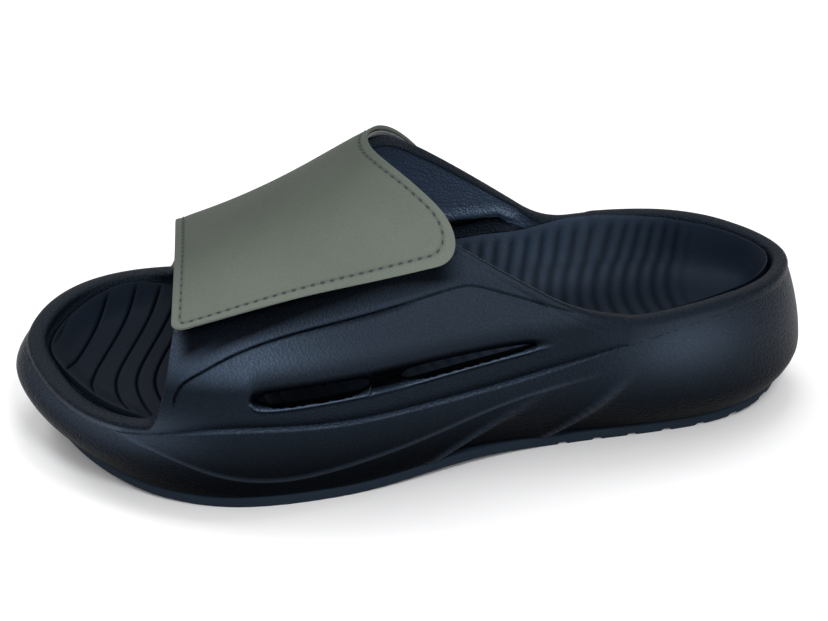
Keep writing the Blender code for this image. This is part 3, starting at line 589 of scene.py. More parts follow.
def side_lines(x, z):
    """The thin raised lines along the slanting ridges and along the long crease, the
    distance under the crease, and the crease's fade at its ends."""
    station = station_of(x)
    fore, aft = behind_ridge(FORE_RIDGE, x, z), behind_ridge(AFT_RIDGE, x, z)
    fade, heel_fade = upward_fades(z)
    lips = bell(fore + 0.0006, 0.0012) * fade + bell(aft + 0.0006, 0.0012) * heel_fade
    lips = lips * smooth_step((0.62 - station) / 0.05) * smooth_step((station - 0.20) / 0.04)
    line = np.array(LONG_CREASE)
    under = spline(line[:, 0], line[:, 1], station) * RIM_HEIGHT - z
    ends = smooth_step((station - 0.26) / 0.10) * smooth_step((0.95 - station) / 0.08)
    return lips, bell(under + 0.0006, 0.0007), under, ends


def wall_point(rays, f, share):
    """Radius and height on the sole's side, from the bottom edge (0) to the ledge (1):
    two curves that meet at the widest line, less the relief."""
    height = f["bottom"] + share * (f["ledge_z"] - f["bottom"])
    under = np.clip(1 - share / f["widest"], 0, 1)
    over = np.clip((share - f["widest"]) / (1 - f["widest"]), 0, 1)
    sharp = np.interp(f["shelf"], (0, 1), OVER_CURVE)
    inset = f["tuck"] * WALL_TUCK * under**UNDER_CURVE + f["lean"] * LEDGE_ROUND * over**sharp
    corner = SOLE_ROUND * np.maximum(0.0, 1 - share / CORNER_SHARE) ** 2
    return f["reach"] - inset - corner - wall_relief(f["x"], height), height


def line_distance(points, x, z):
    """Distance in side view from each point (x, z) to a curve through given points,
    and whether the point lies under the curve. The curve is cut into 80 short chords."""
    points = np.array(points) * (LENGTH, INSTEP_HEIGHT) - (0.5 * LENGTH, 0)
    chord = np.hypot(*np.diff(points, axis=0).T)
    knots = np.concatenate([[0.0], np.cumsum(chord)])
    at = np.linspace(0, knots[-1], 80)
    curve = np.stack([spline(knots, points[:, k], at) for k in (0, 1)], axis=1)
    near = np.full(np.shape(x), 1.0)
    where = np.zeros(np.shape(x))
    for i, (a, b) in enumerate(zip(curve[:-1], curve[1:])):
        along_chord = ((x - a[0]) * (b - a)[0] + (z - a[1]) * (b - a)[1]) / np.sum((b - a) ** 2)
        along_chord = np.clip(along_chord, 0, 1)
        gap = np.hypot(x - a[0] - along_chord * (b - a)[0], z - a[1] - along_chord * (b - a)[1])
        closer = gap < near
        near = np.where(closer, gap, near)
        where = np.where(closer, (i + along_chord) / (len(curve) - 1), where)
    level = np.interp(x, curve[::-1, 0], curve[::-1, 1])
    inside = (z < level) & (x < curve[:, 0].max()) & (x > curve[:, 0].min())
    return near, where, inside


def wing_relief(f, x, z, slot_z):
    """Depth of the wing's outer face: the trough round the vents, with its raised lower
    lip and the pit in their bridge, plus the groove round the panel, which turns into a
    step at the rear. Also the painted light mask: painted shade of one where the trough and
    the groove are deepest, less the painted sheen and highlights."""
    sizes = bpy.context.scene.sandal_sizes
    station = station_of(x)
    rear, front = SLOTS[0]["rear"], SLOTS[1]["front"]
    half = f["trough_half"]
    ends = smooth_step((station - rear + 0.022) / 0.034) * smooth_step((front + 0.014 - station) / 0.007)
    over = z - slot_z
    top, low = over - half, -over - half
    hood = 1 - smooth_step((top + 0.0004) / 0.0040)
    floor = 1 - smooth_step((low + 0.0004) / 0.0012)
    bridge = smooth_step((station - SLOTS[0]["front"]) / 0.004)
    bridge = bridge * smooth_step((SLOTS[1]["rear"] - station) / 0.004)
    inside = smooth_step((half - np.abs(over)) / 0.0007)
    pit = bell(station - SLOTS[1]["rear"] + 0.010, 0.005) * bell(over + 0.0008, 0.0012)
    trough = sizes.vent_depth * ends * hood * floor * (1 + 0.25 * bridge * inside + 0.35 * pit)
    trough = np.minimum(trough, TROUGH_LIMIT * f["wall"])
    lip_line = bell(low - VENT_LIP_DROP, 0.0006)
    lip = VENT_LIP * ends * lip_line
    rill = VENT_RILL * ends * bell(low - 0.0024, 0.00045)
    near, where, inner_part = line_distance(PANEL_LINE, x, z)
    fade = f["wing"] * smooth_step((1 - where) / 0.06) * smooth_step(where / 0.02)
    rear_run = smooth_step((where - 0.52) / 0.10)
    groove = bell(near, 0.00045) * fade * (1 - 0.35 * rear_run)
    step = smooth_step(near / 0.0007) * (1 - smooth_step((near - 0.0012) / 0.0036)) * (1 - inner_part)
    lift = bell(near - 0.0009, 0.0007) * inner_part
    depth = trough - lip + rill + sizes.panel_groove * groove
    depth = depth + sizes.panel_step * rear_run * fade * (step - 0.35 * lift)
    # Painted shade in the vents' trough, the panel's groove and the rill
    shade = np.clip(trough / sizes.vent_depth + groove + rill / 0.0009, 0, 1)
    # Painted sheen on the wing, more at its front, and painted highlights on the vents' lower lip and the
    # side's lines
    painted_sheen = WING_PAINTED_SHEEN + FRONT_PAINTED_SHEEN * bell(station - 0.72, 0.09) * smooth_step((0.075 - z) / 0.02)
    painted_sheen = painted_sheen * f["wing"] * smooth_step((over - half - 0.003) / 0.008)
    painted_sheen = painted_sheen + side_sheen(f, x, z) + VENT_LIP_PAINTED_HIGHLIGHT * ends * lip_line
    # Painted shadow under the strap's free end
    shade = np.maximum(shade, UNDER_STRAP_SHADE * under_strap(x, z))
    return depth, shade - painted_sheen * (1 - shade)


def under_strap(x, z):
    """One on the wing under the strap's free end and just below it, where little light
    comes in, fading out downwards and at the strap's two edges."""
    front, rear = (x_of(edge[0]) for edge in (STRAP_FRONT, STRAP_REAR))
    b = (front - x) / (front - rear)
    end = spline(STRAP_SPOTS, FREE_END, np.clip(b, 0, 1)) * INSTEP_HEIGHT
    sides = smooth_step(b / 0.06) * smooth_step((0.97 - b) / 0.12)
    return sides * smooth_step((z - end + STRAP_SHADE) / 0.0030)


def side_sheen(f, x, z):
    """How much painted sheen lightens the side: two soft patches, on the heel's and the toe's
    shoulder, weaker on the inner side, and painted highlights on the thin raised lines."""
    heel = bell(x + 0.095, 0.020) * bell(z - 0.042, 0.010)
    toe = bell(x - 0.112, 0.024) * bell(z - 0.030, 0.007)
    lips, lip, _, ends = side_lines(x, z)
    glow = (HEEL_PAINTED_SHEEN * heel + TOE_PAINTED_SHEEN * toe) * by_side(f, 1.0, 0.5)
    return glow + RIDGE_PAINTED_HIGHLIGHT * lips + CREASE_PAINTED_HIGHLIGHT * ends * lip


def inner_relief(f, x, z, slot_z):
    """How far the wing's inner face stands proud: a round bead over each vent and a
    narrow lip under it."""
    sizes = bpy.context.scene.sandal_sizes
    station = station_of(x)
    rear, front = SLOTS[0]["rear"], SLOTS[1]["front"]
    half = f["trough_half"]
    ends = smooth_step((station - rear + 0.022) / 0.018) * smooth_step((front + 0.020 - station) / 0.018)
    over = z - slot_z
    bead = bell(over - half - 0.0028, 0.0019)
    lip = 0.5 * bell(-over - half - 0.0012, 0.0010)
    return sizes.vent_bead * ends * (bead + lip) * f["wing"]


def ray_points(rays, radius, height):
    """Points at these radii and heights on the rays, as an array of rows by rays by 3."""
    radius, height = np.broadcast_arrays(np.atleast_2d(radius), np.atleast_2d(height))
    plan = rays["foot"] + rays["away"] * radius[..., None]
    return np.concatenate([plan, height[..., None]], axis=-1)


def rows_between(knots, counts):
    """Shares from knot to knot, with a count of even rows in each stretch."""
    parts = [
        first + (last - first) * (np.arange(count) / count)[:, None]
        for first, last, count in zip(knots[:-1], knots[1:], counts)
    ]
    return np.concatenate(parts + [np.atleast_2d(knots[-1])])


def side_columns():
    """Stations of the rays along the sides: even, and closer round the stations of
    COLUMN_FOCUS, from a running sum of their density."""
    dense = np.linspace(HEEL_POLE[0], TOE_POLE[0], 4000)
    weight = 1 + sum(gain * bell(dense - station, reach) for station, reach, gain in COLUMN_FOCUS)
    total = np.cumsum(weight)
    return np.interp(np.linspace(total[0], total[-1], SIDE_COLUMNS), total, dense)


class Patchwork:
    """Joins grids of points into one closed mesh, with a float attribute for each mask."""

    def __init__(self, *masks):
        self.points, self.faces = [], []
        self.masks = {name: [] for name in masks}
        self.count = 0

    def grid(self, points, closed=False, where=None, **masks):
        """Adds rows by columns of points; closed joins the last column to the first,
        and where picks the columns that get faces."""
        rows, columns = points.shape[:2]
        index = np.arange(rows * columns).reshape(rows, columns)
        after = np.roll(index, -1, axis=1)
        keep = np.ones(columns, bool) if where is None else where.copy()
        if not closed:
            keep[-1] = False
        faces = np.stack([index[:-1], after[:-1], after[1:], index[1:]], axis=-1)[:, keep]
        used, corners = np.unique(faces, return_inverse=True)
        self.faces.append(self.count + corners.reshape(-1, 4))
        self.points.append(points.reshape(-1, 3)[used])
        for name, kept in self.masks.items():
            kept.append(np.broadcast_to(masks.get(name, 0.0), (rows, columns)).ravel()[used])
        self.count += len(used)

    def mesh(self, name, merge=2e-6):
        """The joined mesh, its seams and poles closed and its faces pointing outwards."""
        mesh = bpy.data.meshes.new(name)
        mesh.from_pydata(np.concatenate(self.points).tolist(), [], np.concatenate(self.faces).tolist())
        for mask, parts in self.masks.items():
            layer = mesh.attributes.new(mask, "FLOAT", "POINT")
            layer.data.foreach_set("value", np.concatenate(parts).astype(np.float32))
        work = bmesh.new()
        work.from_mesh(mesh)
        bmesh.ops.remove_doubles(work, verts=work.verts, dist=merge)
        bmesh.ops.dissolve_degenerate(work, edges=work.edges, dist=merge / 2)
        loose = [vert for vert in work.verts if not vert.link_faces]
        bmesh.ops.delete(work, geom=loose, context="VERTS")
        bmesh.ops.recalc_face_normals(work, faces=work.faces)
        if work.calc_volume(signed=True) < 0:
            bmesh.ops.reverse_faces(work, faces=work.faces)
        work.to_mesh(mesh)
        work.free()
        mesh.shade_smooth()
        mesh.set_sharp_from_angle(angle=np.radians(62))
        return mesh


def foam_mesh():
    """The moulded body as one closed skin. Each ray carries a section: underside, wall
    (two power curves), ledge, wing (superellipse), rounded edge, inner face, seat. The
    vents' lips part the rows where the slot's half height is over zero."""
    rays = make_rays(side_columns(), HEEL_COLUMNS, TOE_COLUMNS)
    f = form(rays)
    skin = Patchwork("crevice")
    low_lip, high_lip, speed = vent_lips(f)

    def arch(turn, face):
        """Points on a face of the wing, with that face's relief, and its painted light mask."""
        height = arch_point(f, turn)[1]
        slot_z = arch_point(f, f["slot_turn"])[1]
        if face == "outer":
            depth, shade = wing_relief(f, f["x"], height, slot_z)
            depth = depth * fade_to_edge(f, turn, speed) + edge_crease(f, turn, speed)
        else:
            depth = f["wall"] + inner_relief(f, f["x"], height, slot_z) * fade_to_edge(f, turn, speed)
            # Painted light on the inside face of the inner wing
            shade = np.broadcast_to(-INSIDE_PAINTED_LIGHT * f["wing"] * by_side(f, 0.0, 1.0), height.shape)
        return arch_point(f, turn, depth), shade

    bottom = [ray_points(rays, f["foot_r"] * share, body_bottom(along(rays, f["foot_r"] * share)))
              for share in (0.0, *SOLE_SHARES)]
    tall = f["ledge_z"] - f["bottom"]
    line = np.array(LONG_CREASE)
    crease = spline(line[:, 0], line[:, 1], station_of(f["x"])) * RIM_HEIGHT
    crease = np.clip((crease - f["bottom"]) / tall, 0.18, 0.82)
    band = 0.0011 / tall
    flat = np.zeros_like(tall)
    knots = [flat, flat + 0.04, crease - band, crease + band, flat + 0.93, flat + 1]
    wall = ray_points(rays, *wall_point(rays, f, rows_between(knots, WALL_ROWS)))
    wall_top = wall_point(rays, f, np.ones_like(tall))[0]
    share = (np.arange(1, LEDGE_ROWS) / LEDGE_ROWS)[:, None]
    ledge = ray_points(
        rays, wall_top + (f["arch_r"] - wall_top) * share,
        f["ledge_z"] + (f["base_z"] - f["ledge_z"]) * share**0.6,
    )
    turns = low_lip * (1 - (1 - np.arange(LOWER_ROWS + 1) / LOWER_ROWS)[:, None] ** 1.5)
    lower, lower_shade = arch(turns, "outer")
    lower = ray_points(rays, *lower)
    plain = np.zeros((sum(map(len, bottom)), len(tall)))
    # Painted shade towards the foot of the side, less the painted sheen on the shoulders and the raised lines
    foot = FOOT_SHADE * (1 - smooth_step((wall[..., 2] - 0.008) / 0.030))
    foot = foot - side_sheen(f, wall[..., 0], wall[..., 2])
    shelf = np.clip(f["shelf"], 0, 1)
    # Painted highlight along the ledge, and painted shade in the corner over it
    ledge_highlight = -LEDGE_PAINTED_HIGHLIGHT * shelf * (1 - share**4)
    lower_shade = lower_shade + LEDGE_SHADE * shelf * bell(turns * speed, 0.0014)
    skin.grid(
        np.concatenate(bottom + [wall, ledge, lower]), closed=True,
        crevice=np.concatenate([plain, foot, ledge_highlight, lower_shade]),
    )

    upper_turns = rows_between(panel_knots(f, high_lip, speed), UPPER_ROWS)
    upper, upper_shade = arch(upper_turns, "outer")
    upper = ray_points(rays, *upper)
    cap = cap_points(rays, f)
    down = (np.arange(INNER_ROWS + 1) / INNER_ROWS)[:, None] ** 0.9
    down = f["edge_turn"] + (high_lip - f["edge_turn"]) * down
    (radius, height), inner_shade = arch(down, "inner")
    inner = ray_points(rays, fill_seam(f, radius, height), height)
    over = np.concatenate([upper, cap, inner])
    shade = np.concatenate([upper_shade, np.zeros((len(cap), len(tall))), inner_shade])
    skin.grid(over, closed=True, crevice=shade)

    opened = f["half"] > 0
    tunnel = opened | np.roll(opened, -1)
    for lip, sign in ((low_lip, -1), (high_lip, 1)):
        (r0, z0), (r1, z1) = arch(lip, "outer")[0], arch(lip, "inner")[0]
        r1 = fill_seam(f, r1, z1)
        middle = arch_point(f, f["slot_turn"] + sign * f["half"] / speed, 0.5 * f["wall"])
        q = np.array(TUNNEL_SHARES)[:, None]
        pinch = np.sin(np.pi * q) ** 0.5
        chord = (r0 + (r1 - r0) * q, z0 + (z1 - z0) * q)
        centre = (0.5 * (r0 + r1), 0.5 * (z0 + z1))
        walls = [c + (m - k) * pinch for c, m, k in zip(chord, middle, centre)]
        # The vents' tunnels are painted fully in shade
        skin.grid(ray_points(rays, *walls), closed=True, where=tunnel, crevice=1.0)

    (r0, z0), _ = arch(low_lip, "inner")
    share = (np.arange(BELOW_ROWS + 1) / BELOW_ROWS)[:, None]
    height = z0 + (f["seat_z"] - z0) * share
    proud = inner_relief(f, f["x"], height, arch_point(f, f["slot_turn"])[1])
    face = inner_radius(f, height, f["wall"] + proud)
    start = inner_radius(f, z0, f["wall"] + proud[:1]) - r0
    shift = f["seat_r"] - face[-1]
    radius = face - start * (1 - share) ** 4 + shift * share**2
    below = ray_points(rays, fill_seam(f, radius, height), height)
    seat = [
        ray_points(rays, f["seat_r"] * share, bed_height(rays, f, share) - INSOLE_THICKNESS - FIT_GAP)
        for share in (*SEAT_SHARES, 0.0)
    ]
    skin.grid(np.concatenate([below] + seat), closed=True)
    return skin.mesh("foam_body")


def vent_lips(f):
    """Turns of the vents' lower and upper lips on the faces, where the opening flares
    by LIP_FLARE, and the arch's length for each unit of turn at the vents."""
    middle = np.maximum(f["slot_turn"], 0.002)
    step = np.minimum(0.01, 0.5 * middle)
    near = [arch_point(f, middle + s * step) for s in (-1, 1)]
    speed = np.hypot(near[1][0] - near[0][0], near[1][1] - near[0][1]) / (2 * step)
    half = sum(slot_half_height(f, slot) for slot in SLOTS) * by_side(f, 1.0, INNER_VENT)
    share = station_of(f["x"]) - SLOTS[0]["rear"]
    point = np.clip(share / (SLOTS[0]["front"] - SLOTS[0]["rear"]), 0, 1) ** 0.55
    blunt = np.clip(share / (SLOTS[1]["front"] + 0.009 - SLOTS[0]["rear"]), 0, 1) ** 30
    f["trough_half"] = point * np.sqrt(1 - blunt) * SLOT_HEIGHT / 2 * by_side(f, 1.0, INNER_VENT)
    room = 0.8 * np.minimum(f["slot_turn"], f["edge_turn"] - f["slot_turn"]) * speed
    f["half"] = np.where(half > 1e-6, np.minimum(half, room), 0.0)
    flare = LIP_FLARE * smooth_step(f["half"] / 0.0012)
    turn = (f["half"] + flare) / speed
    return f["slot_turn"] - turn, f["slot_turn"] + turn, speed


def edge_crease(f, turn, speed):
    """Depth of the crease that runs beside the wing's rear edge, on its outer face."""
    away = (f["edge_turn"] - turn) * speed
    rear = smooth_step((0.50 - station_of(f["x"])) / 0.05)
    return EDGE_CREASE * bell(away - 0.0033, 0.0007) * rear * f["wing"]


def lip_rise(station):
    """How far the footbed's edge turns up: only round the heel and the toes."""
    ends = 1 - smooth_step((station - 0.26) / 0.10) * smooth_step((0.86 - station) / 0.08)
    return bpy.context.scene.sandal_sizes.footbed_lip * ends * (1 + 0.7 * smooth_step((0.5 - station) / 0.1))


def fill_seam(f, radius, height):
    """Draws the rim's inner face in, so that it meets the footbed's turned-up edge and
    slopes out from there."""
    top = f["seat_z"] + lip_rise(station_of(f["x"])) - 0.0006
    limit = f["seat_r"] + 0.0002 + SEAM_SLOPE * np.maximum(height - top, 0)
    return radius + (np.minimum(radius, limit) - radius) * (1 - f["wing"])


def fade_to_edge(f, turn, speed):
    """One on the wing's face, falling to zero at its edge, where the rounding starts."""
    return smooth_step((f["edge_turn"] - turn) * speed / 0.0022)


def panel_knots(f, high_lip, speed):
    """Turns between which the wing's upper rows are spread: vent lip, end of the hood,
    before and after the panel's line, near the edge, edge."""
    line = np.array(PANEL_LINE)[::-1]
    level = np.interp(station_of(f["x"]), line[:, 0], line[:, 1], left=line[0, 1]) * INSTEP_HEIGHT
    groove = arch_turn(f, level)
    span = f["edge_turn"] - high_lip
    even = [high_lip + span * share for share in (0.0, 0.24, 0.48, 0.66, 0.90, 1.0)]
    fitted = [
        high_lip, high_lip + 0.0048 / speed, groove - 0.0014 / speed, groove + 0.0014 / speed,
        f["edge_turn"] - 0.0026 / speed, f["edge_turn"],
    ]
    fitted = np.clip(np.stack(fitted), high_lip, f["edge_turn"])
    fitted = 0.9 * np.maximum.accumulate(fitted, axis=0) + 0.1 * np.stack(even)
    return list(f["wing"] * fitted + (1 - f["wing"]) * np.stack(even))


def cap_points(rays, f):
    """Over the rounded edge from its outer to its inner face: the chord between them,
    bulged along its normal by a rounded square's profile."""
    start = np.array(arch_point(f, f["edge_turn"]))
    end = np.array(arch_point(f, f["edge_turn"], f["wall"]))
    chord = end - start
    up = np.array([chord[1], -chord[0]]) / np.hypot(*chord)
    share = 0.5 - 0.5 * np.cos(np.pi * np.arange(1, CAP_ROWS) / CAP_ROWS)[:, None]
    bulge = (1 - np.abs(2 * share - 1) ** 3) ** (1 / 3)
    radius = start[0] + chord[0] * share + up[0] * f["round"] * bulge
    height = start[1] + chord[1] * share + up[1] * f["round"] * bulge
    return ray_points(rays, radius, height)


def bed_tables():
    """Radius of the insole's edge and its cup, for the sides by x and for the round ends
    by angle, to read the bed at any point."""
    count, fan = 300, 120
    rays = make_rays(np.linspace(HEEL_POLE[0], TOE_POLE[0], count), fan, fan)
    f = form(rays)
    cut = (slice(0, count), slice(count, count + fan), slice(count + fan, 2 * count + fan),
           slice(2 * count + fan, None))
    outer, toe, inner, heel = cut
    edge = {"x": rays["foot"][outer, 0]}
    for name in ("seat_r", "cup"):
        edge[name] = (f[name][outer], f[name][inner][::-1])
        edge["toe_" + name] = np.concatenate([f[name][inner][:1], f[name][toe][::-1], f[name][outer][-1:]])
        edge["heel_" + name] = np.concatenate([f[name][outer][:1], f[name][heel][::-1], f[name][inner][-1:]])
    edge["turns"] = np.linspace(-np.pi / 2, np.pi / 2, fan + 2)
    return edge


def bed_at(edge, x, y):
    """Share of the way from the spine to the insole's edge at any point of the plan, and
    the height of the bed there."""
    first, last = edge["x"][0], edge["x"][-1]
    base_x = np.clip(x, first, last)
    dx, dy = x - base_x, y - spine_y(base_x)
    values = []
    for name in ("seat_r", "cup"):
        outer, inner = (np.interp(base_x, edge["x"], side) for side in edge[name])
        value = np.where(dy >= 0, outer, inner)
        toe_turn, heel_turn = np.arctan2(dy, dx), np.arctan2(-dy, -dx)
        value = np.where(dx > 0, np.interp(toe_turn, edge["turns"], edge["toe_" + name]), value)
        value = np.where(dx < 0, np.interp(heel_turn, edge["turns"], edge["heel_" + name]), value)
        values.append(value)
    radius, cup = values
    share = np.hypot(dx, dy) / (radius - FIT_GAP)
    height = section("bed", station_of(x)) * HEEL_STACK + cup * np.minimum(share, 1) ** CUP_POWER
    return share, height


def groove_x(apex, y):
    """X of the groove that crosses the apex line at this apex: under the toes a hyperbola
    bowed to the front, and behind the ball a circle round the heel's centre."""
    radius = np.maximum(apex - HEEL_CENTRE, LEAST_RADIUS)
    circle = radius - np.sqrt(np.maximum(radius**2 - y**2, (0.3 * radius) ** 2))
    away = y - GROOVE_AXIS
    bow = GROOVE_BOW * (np.hypot(away, GROOVE_TURN) - GROOVE_TURN)
    toe = smooth_step((apex - 0.010) / 0.060)
    return apex - circle * (1 - toe) - bow * toe


def groove_apex(x, y):
    """Apex of the groove through a point, by halving."""
    low, high = x - 0.01, x + 0.09
    for _ in range(40):
        middle = 0.5 * (low + high)
        short = groove_x(middle, y) < x
        low, high = np.where(short, middle, low), np.where(short, high, middle)
    return 0.5 * (low + high)


def groove_offset(apex):
    """Distance from the nearest groove, from a running count of grooves whose pitch
    changes along the foot."""
    rows = np.array(GROOVE_PITCH)
    dense = np.linspace(-0.15, 0.16, 1200)
    pitch = np.interp(dense, rows[:, 0], rows[:, 1])
    count = np.cumsum((dense[1] - dense[0]) / pitch)
    number = np.interp(apex, dense, count) - np.interp(FIRST_GROOVE, dense, count)
    return (number - np.round(number)) * np.interp(apex, rows[:, 0], rows[:, 1])


def insole_mesh():
    """The footbed, its rows following its curved grooves. The top is the bed's height
    less the grooves; the underside lies one thickness lower."""
    sizes = bpy.context.scene.sandal_sizes
    edge = bed_tables()
    turns = np.linspace(0, 2 * np.pi, 1440)
    outline_x, outline_y = bed_outline(edge, turns)
    apex = groove_apex(outline_x, outline_y)
    low, high = apex.min() + 2e-5, apex.max() - 2e-5
    dense = np.linspace(low, high, 6000)
    weight = 1 + 2.2 * bell(groove_offset(dense), 0.0009)
    weight += 9 * bell(dense - low, 0.0010) + 9 * bell(dense - high, 0.0010)
    total = np.cumsum(weight)
    rows = np.interp(np.linspace(total[0], total[-1], INSOLE_ROWS), total, dense)[:, None]

    scan = np.linspace(-0.48, 0.48, 900)[None, :] * BALL_WIDTH
    inside = bed_at(edge, groove_x(rows, scan), scan)[0] < 1
    first = np.argmax(inside, axis=1)
    last = inside.shape[1] - 1 - np.argmax(inside[:, ::-1], axis=1)
    step = scan[0, 1] - scan[0, 0]
    ends = [meet_edge(edge, rows[:, 0], scan[0, at] + shift, scan[0, at])
            for at, shift in ((first, -step), (last, step))]
    across = 0.5 - 0.5 * np.cos(np.pi * np.linspace(0, 1, INSOLE_COLUMNS))
    across = 0.6 * across + 0.4 * np.linspace(0, 1, INSOLE_COLUMNS)
    y = ends[0][:, None] + (ends[1] - ends[0])[:, None] * across
    x = groove_x(rows, y)
    share, height = bed_at(edge, x, y)
    soft = smooth_step((0.085 - rows) / 0.04)
    width = 0.00042 + 0.0010 * soft
    groove = bell(groove_offset(rows), width)
    limit = 0.99 - 0.16 * smooth_step((y + 0.01) / 0.03) * soft
    keep = smooth_step((limit - share) / (0.07 + 0.25 * soft * (y > 0)))
    keep = keep * smooth_step((rows - LAST_GROOVE) / 0.012)
    keep = keep * smooth_step((FIRST_GROOVE + 0.004 - rows) / 0.004)
    fine = sizes.footbed_groove * (1 - 0.35 * soft) * groove * keep
    lip = lip_rise(station_of(x)) * smooth_step((share - 0.62) / 0.38) ** 2
    lip = lip - 0.0003 * smooth_step((share - 0.985) / 0.015) ** 2
    top = np.stack([x, y, height - fine + lip], axis=-1)
    under = np.stack([x, y, height - INSOLE_THICKNESS], axis=-1)[:, ::-4]
    ring = np.concatenate([top, under], axis=1)
    # Painted shade on the footbed under the toes, painted sheen towards its edge at the heel, and painted
    # shade in the grooves
    tone = TOE_BED_SHADE * smooth_step((station_of(x) - 0.72) / 0.12)
    tone = tone - FOOTBED_PAINTED_LIGHT * bell(station_of(x) - 0.34, 0.14) * smooth_step(share)
    shade = groove * keep * (1 - 0.45 * soft)
    shade = shade + (1 - shade) * tone
    shade = np.concatenate([shade, np.zeros(under.shape[:2])], axis=1)
    skin = Patchwork("crevice")
    skin.grid(ring, closed=True, crevice=shade)
    close_ends(skin, ring)
    return skin.mesh("insole")


def close_ends(skin, ring):
    """Shuts a loft's two ends with a strip from each end ring to its own middle."""
    for row in (ring[:1], ring[-1:]):
        middle = np.broadcast_to(row.mean(axis=1, keepdims=True), row.shape)
        skin.grid(np.concatenate([row, middle]), closed=True)


def bed_outline(edge, turns):
    """Points of the insole's outline for turns round the foot's middle, found by
    stretching each direction until the share is one."""
    direction = np.stack([np.cos(turns), np.sin(turns)])
    low, high = np.zeros_like(turns), np.full_like(turns, 0.6 * LENGTH)
    for _ in range(40):
        middle = 0.5 * (low + high)
        outside = bed_at(edge, *(direction * middle))[0] > 1
        low, high = np.where(outside, low, middle), np.where(outside, middle, high)
    return direction * low


def meet_edge(edge, apex, outside, inside):
    """Y where each groove line meets the insole's edge, by halving."""
    for _ in range(24):
        middle = 0.5 * (outside + inside)
        beyond = bed_at(edge, groove_x(apex, middle), middle)[0] > 1
        outside, inside = np.where(beyond, middle, outside), np.where(beyond, inside, middle)
    return inside


def tread_depth(x, y_share, heel, toe):
    """Depth of the chevron grooves at a point: flat-bottomed, with sloping walls."""
    bow = LUG_CHEVRON * smooth_step((x - heel) / TIP_FADE) * smooth_step((toe - x) / TIP_FADE)
    at = x - bow * (1 - np.abs(y_share))
    depth = np.zeros_like(at)
    for first, last in LUG_ZONES:
        for start in np.arange(x_of(first), x_of(last), LUG_PITCH):
            middle = start + LUG_GROOVE / 2
            away = np.abs(at - middle) - LUG_GROOVE / 3
            depth = np.maximum(depth, 1 - smooth_step(away / (LUG_GROOVE / 5)))
    return depth * LUG_DEPTH


def outsole_mesh():
    """The rubber sheet: cross rows from heel to toe, level from side to side, with lugs,
    rounded edges and a fine ribbed side."""
    sizes = bpy.context.scene.sandal_sizes
    rays = make_rays(np.linspace(HEEL_POLE[0], TOE_POLE[0], 500), 200, 200)
    f = form(rays)
    edge = ray_points(rays, f["foot_r"] + SOLE_ROUND - OUTSOLE_INSET, 0.0)[0, :, :2]
    heel_at, toe_at = np.argmin(edge[:, 0]), np.argmax(edge[:, 0])
    edge = np.roll(edge, -heel_at, axis=0)
    toe_at = (toe_at - heel_at) % len(edge)
    outer, inner = edge[: toe_at + 1].T, np.vstack([edge[toe_at:], edge[:1]])[::-1].T
    heel, toe = edge[0, 0], edge[toe_at, 0]
    dense = np.linspace(heel + 4e-5, toe - 4e-5, 8000)
    weight = 1 + 12 * bell(dense - heel, 0.0012) + 12 * bell(dense - toe, 0.0012)
    total = np.cumsum(weight)
    x = np.interp(np.linspace(total[0], total[-1], OUTSOLE_ROWS), total, dense)[:, None]
    low, high = np.interp(x, *inner), np.interp(x, *outer)
    share = np.linspace(-1, 1, OUTSOLE_COLUMNS)
    share = np.sign(share) * (1 - (1 - np.abs(share)) ** 1.35)
    half = (high - low) / 2
    edge_in = np.minimum(0.0006, 0.3 * half)
    y = (low + high) / 2 + (half - edge_in) * share
    cut = tread_depth(x, share[None, :] * np.ones_like(x), heel, toe)
    open_edge = smooth_step((1 - np.abs(share)) / 0.05 - 0.6)
    cut = cut * np.where(station_of(x) < CLOSED_FROM, 0.35 + 0.65 * open_edge, open_edge)
    under = np.stack([x + 0 * y, y, ground_height(x) + cut], axis=-1)
    rib = sizes.sole_rib * np.sin(2 * np.pi * x / 0.0021)
    top_z = body_bottom(x) - FIT_GAP
    base_z = ground_height(x) + cut[:, -1:]
    climb = np.array([0.12, 0.3, 0.5, 0.7, 0.88])
    side_z = base_z + (top_z - base_z) * climb
    out = edge_in * np.array([0.75, 1, 1, 1, 0.8]) - np.abs(rib) * np.array([1, 1, 1, 0.5, 0])
    right = np.stack([x + 0 * side_z, high - edge_in + out, side_z], axis=-1)
    left = np.stack([x + 0 * side_z, low + edge_in - out, side_z], axis=-1)
    over = np.stack([x + 0 * y, y, top_z + 0 * y], axis=-1)[:, ::-4]
    ring = np.concatenate([under, right, over, left[:, ::-1]], axis=1)
    zeros = np.zeros((len(x), 2 * len(climb) + over.shape[1]))
    skin = Patchwork("crevice")
    # Painted shade in the lugs' grooves
    skin.grid(ring, closed=True, crevice=np.concatenate([cut / LUG_DEPTH, zeros], axis=1))
    close_ends(skin, ring)
    return skin.mesh("outsole")


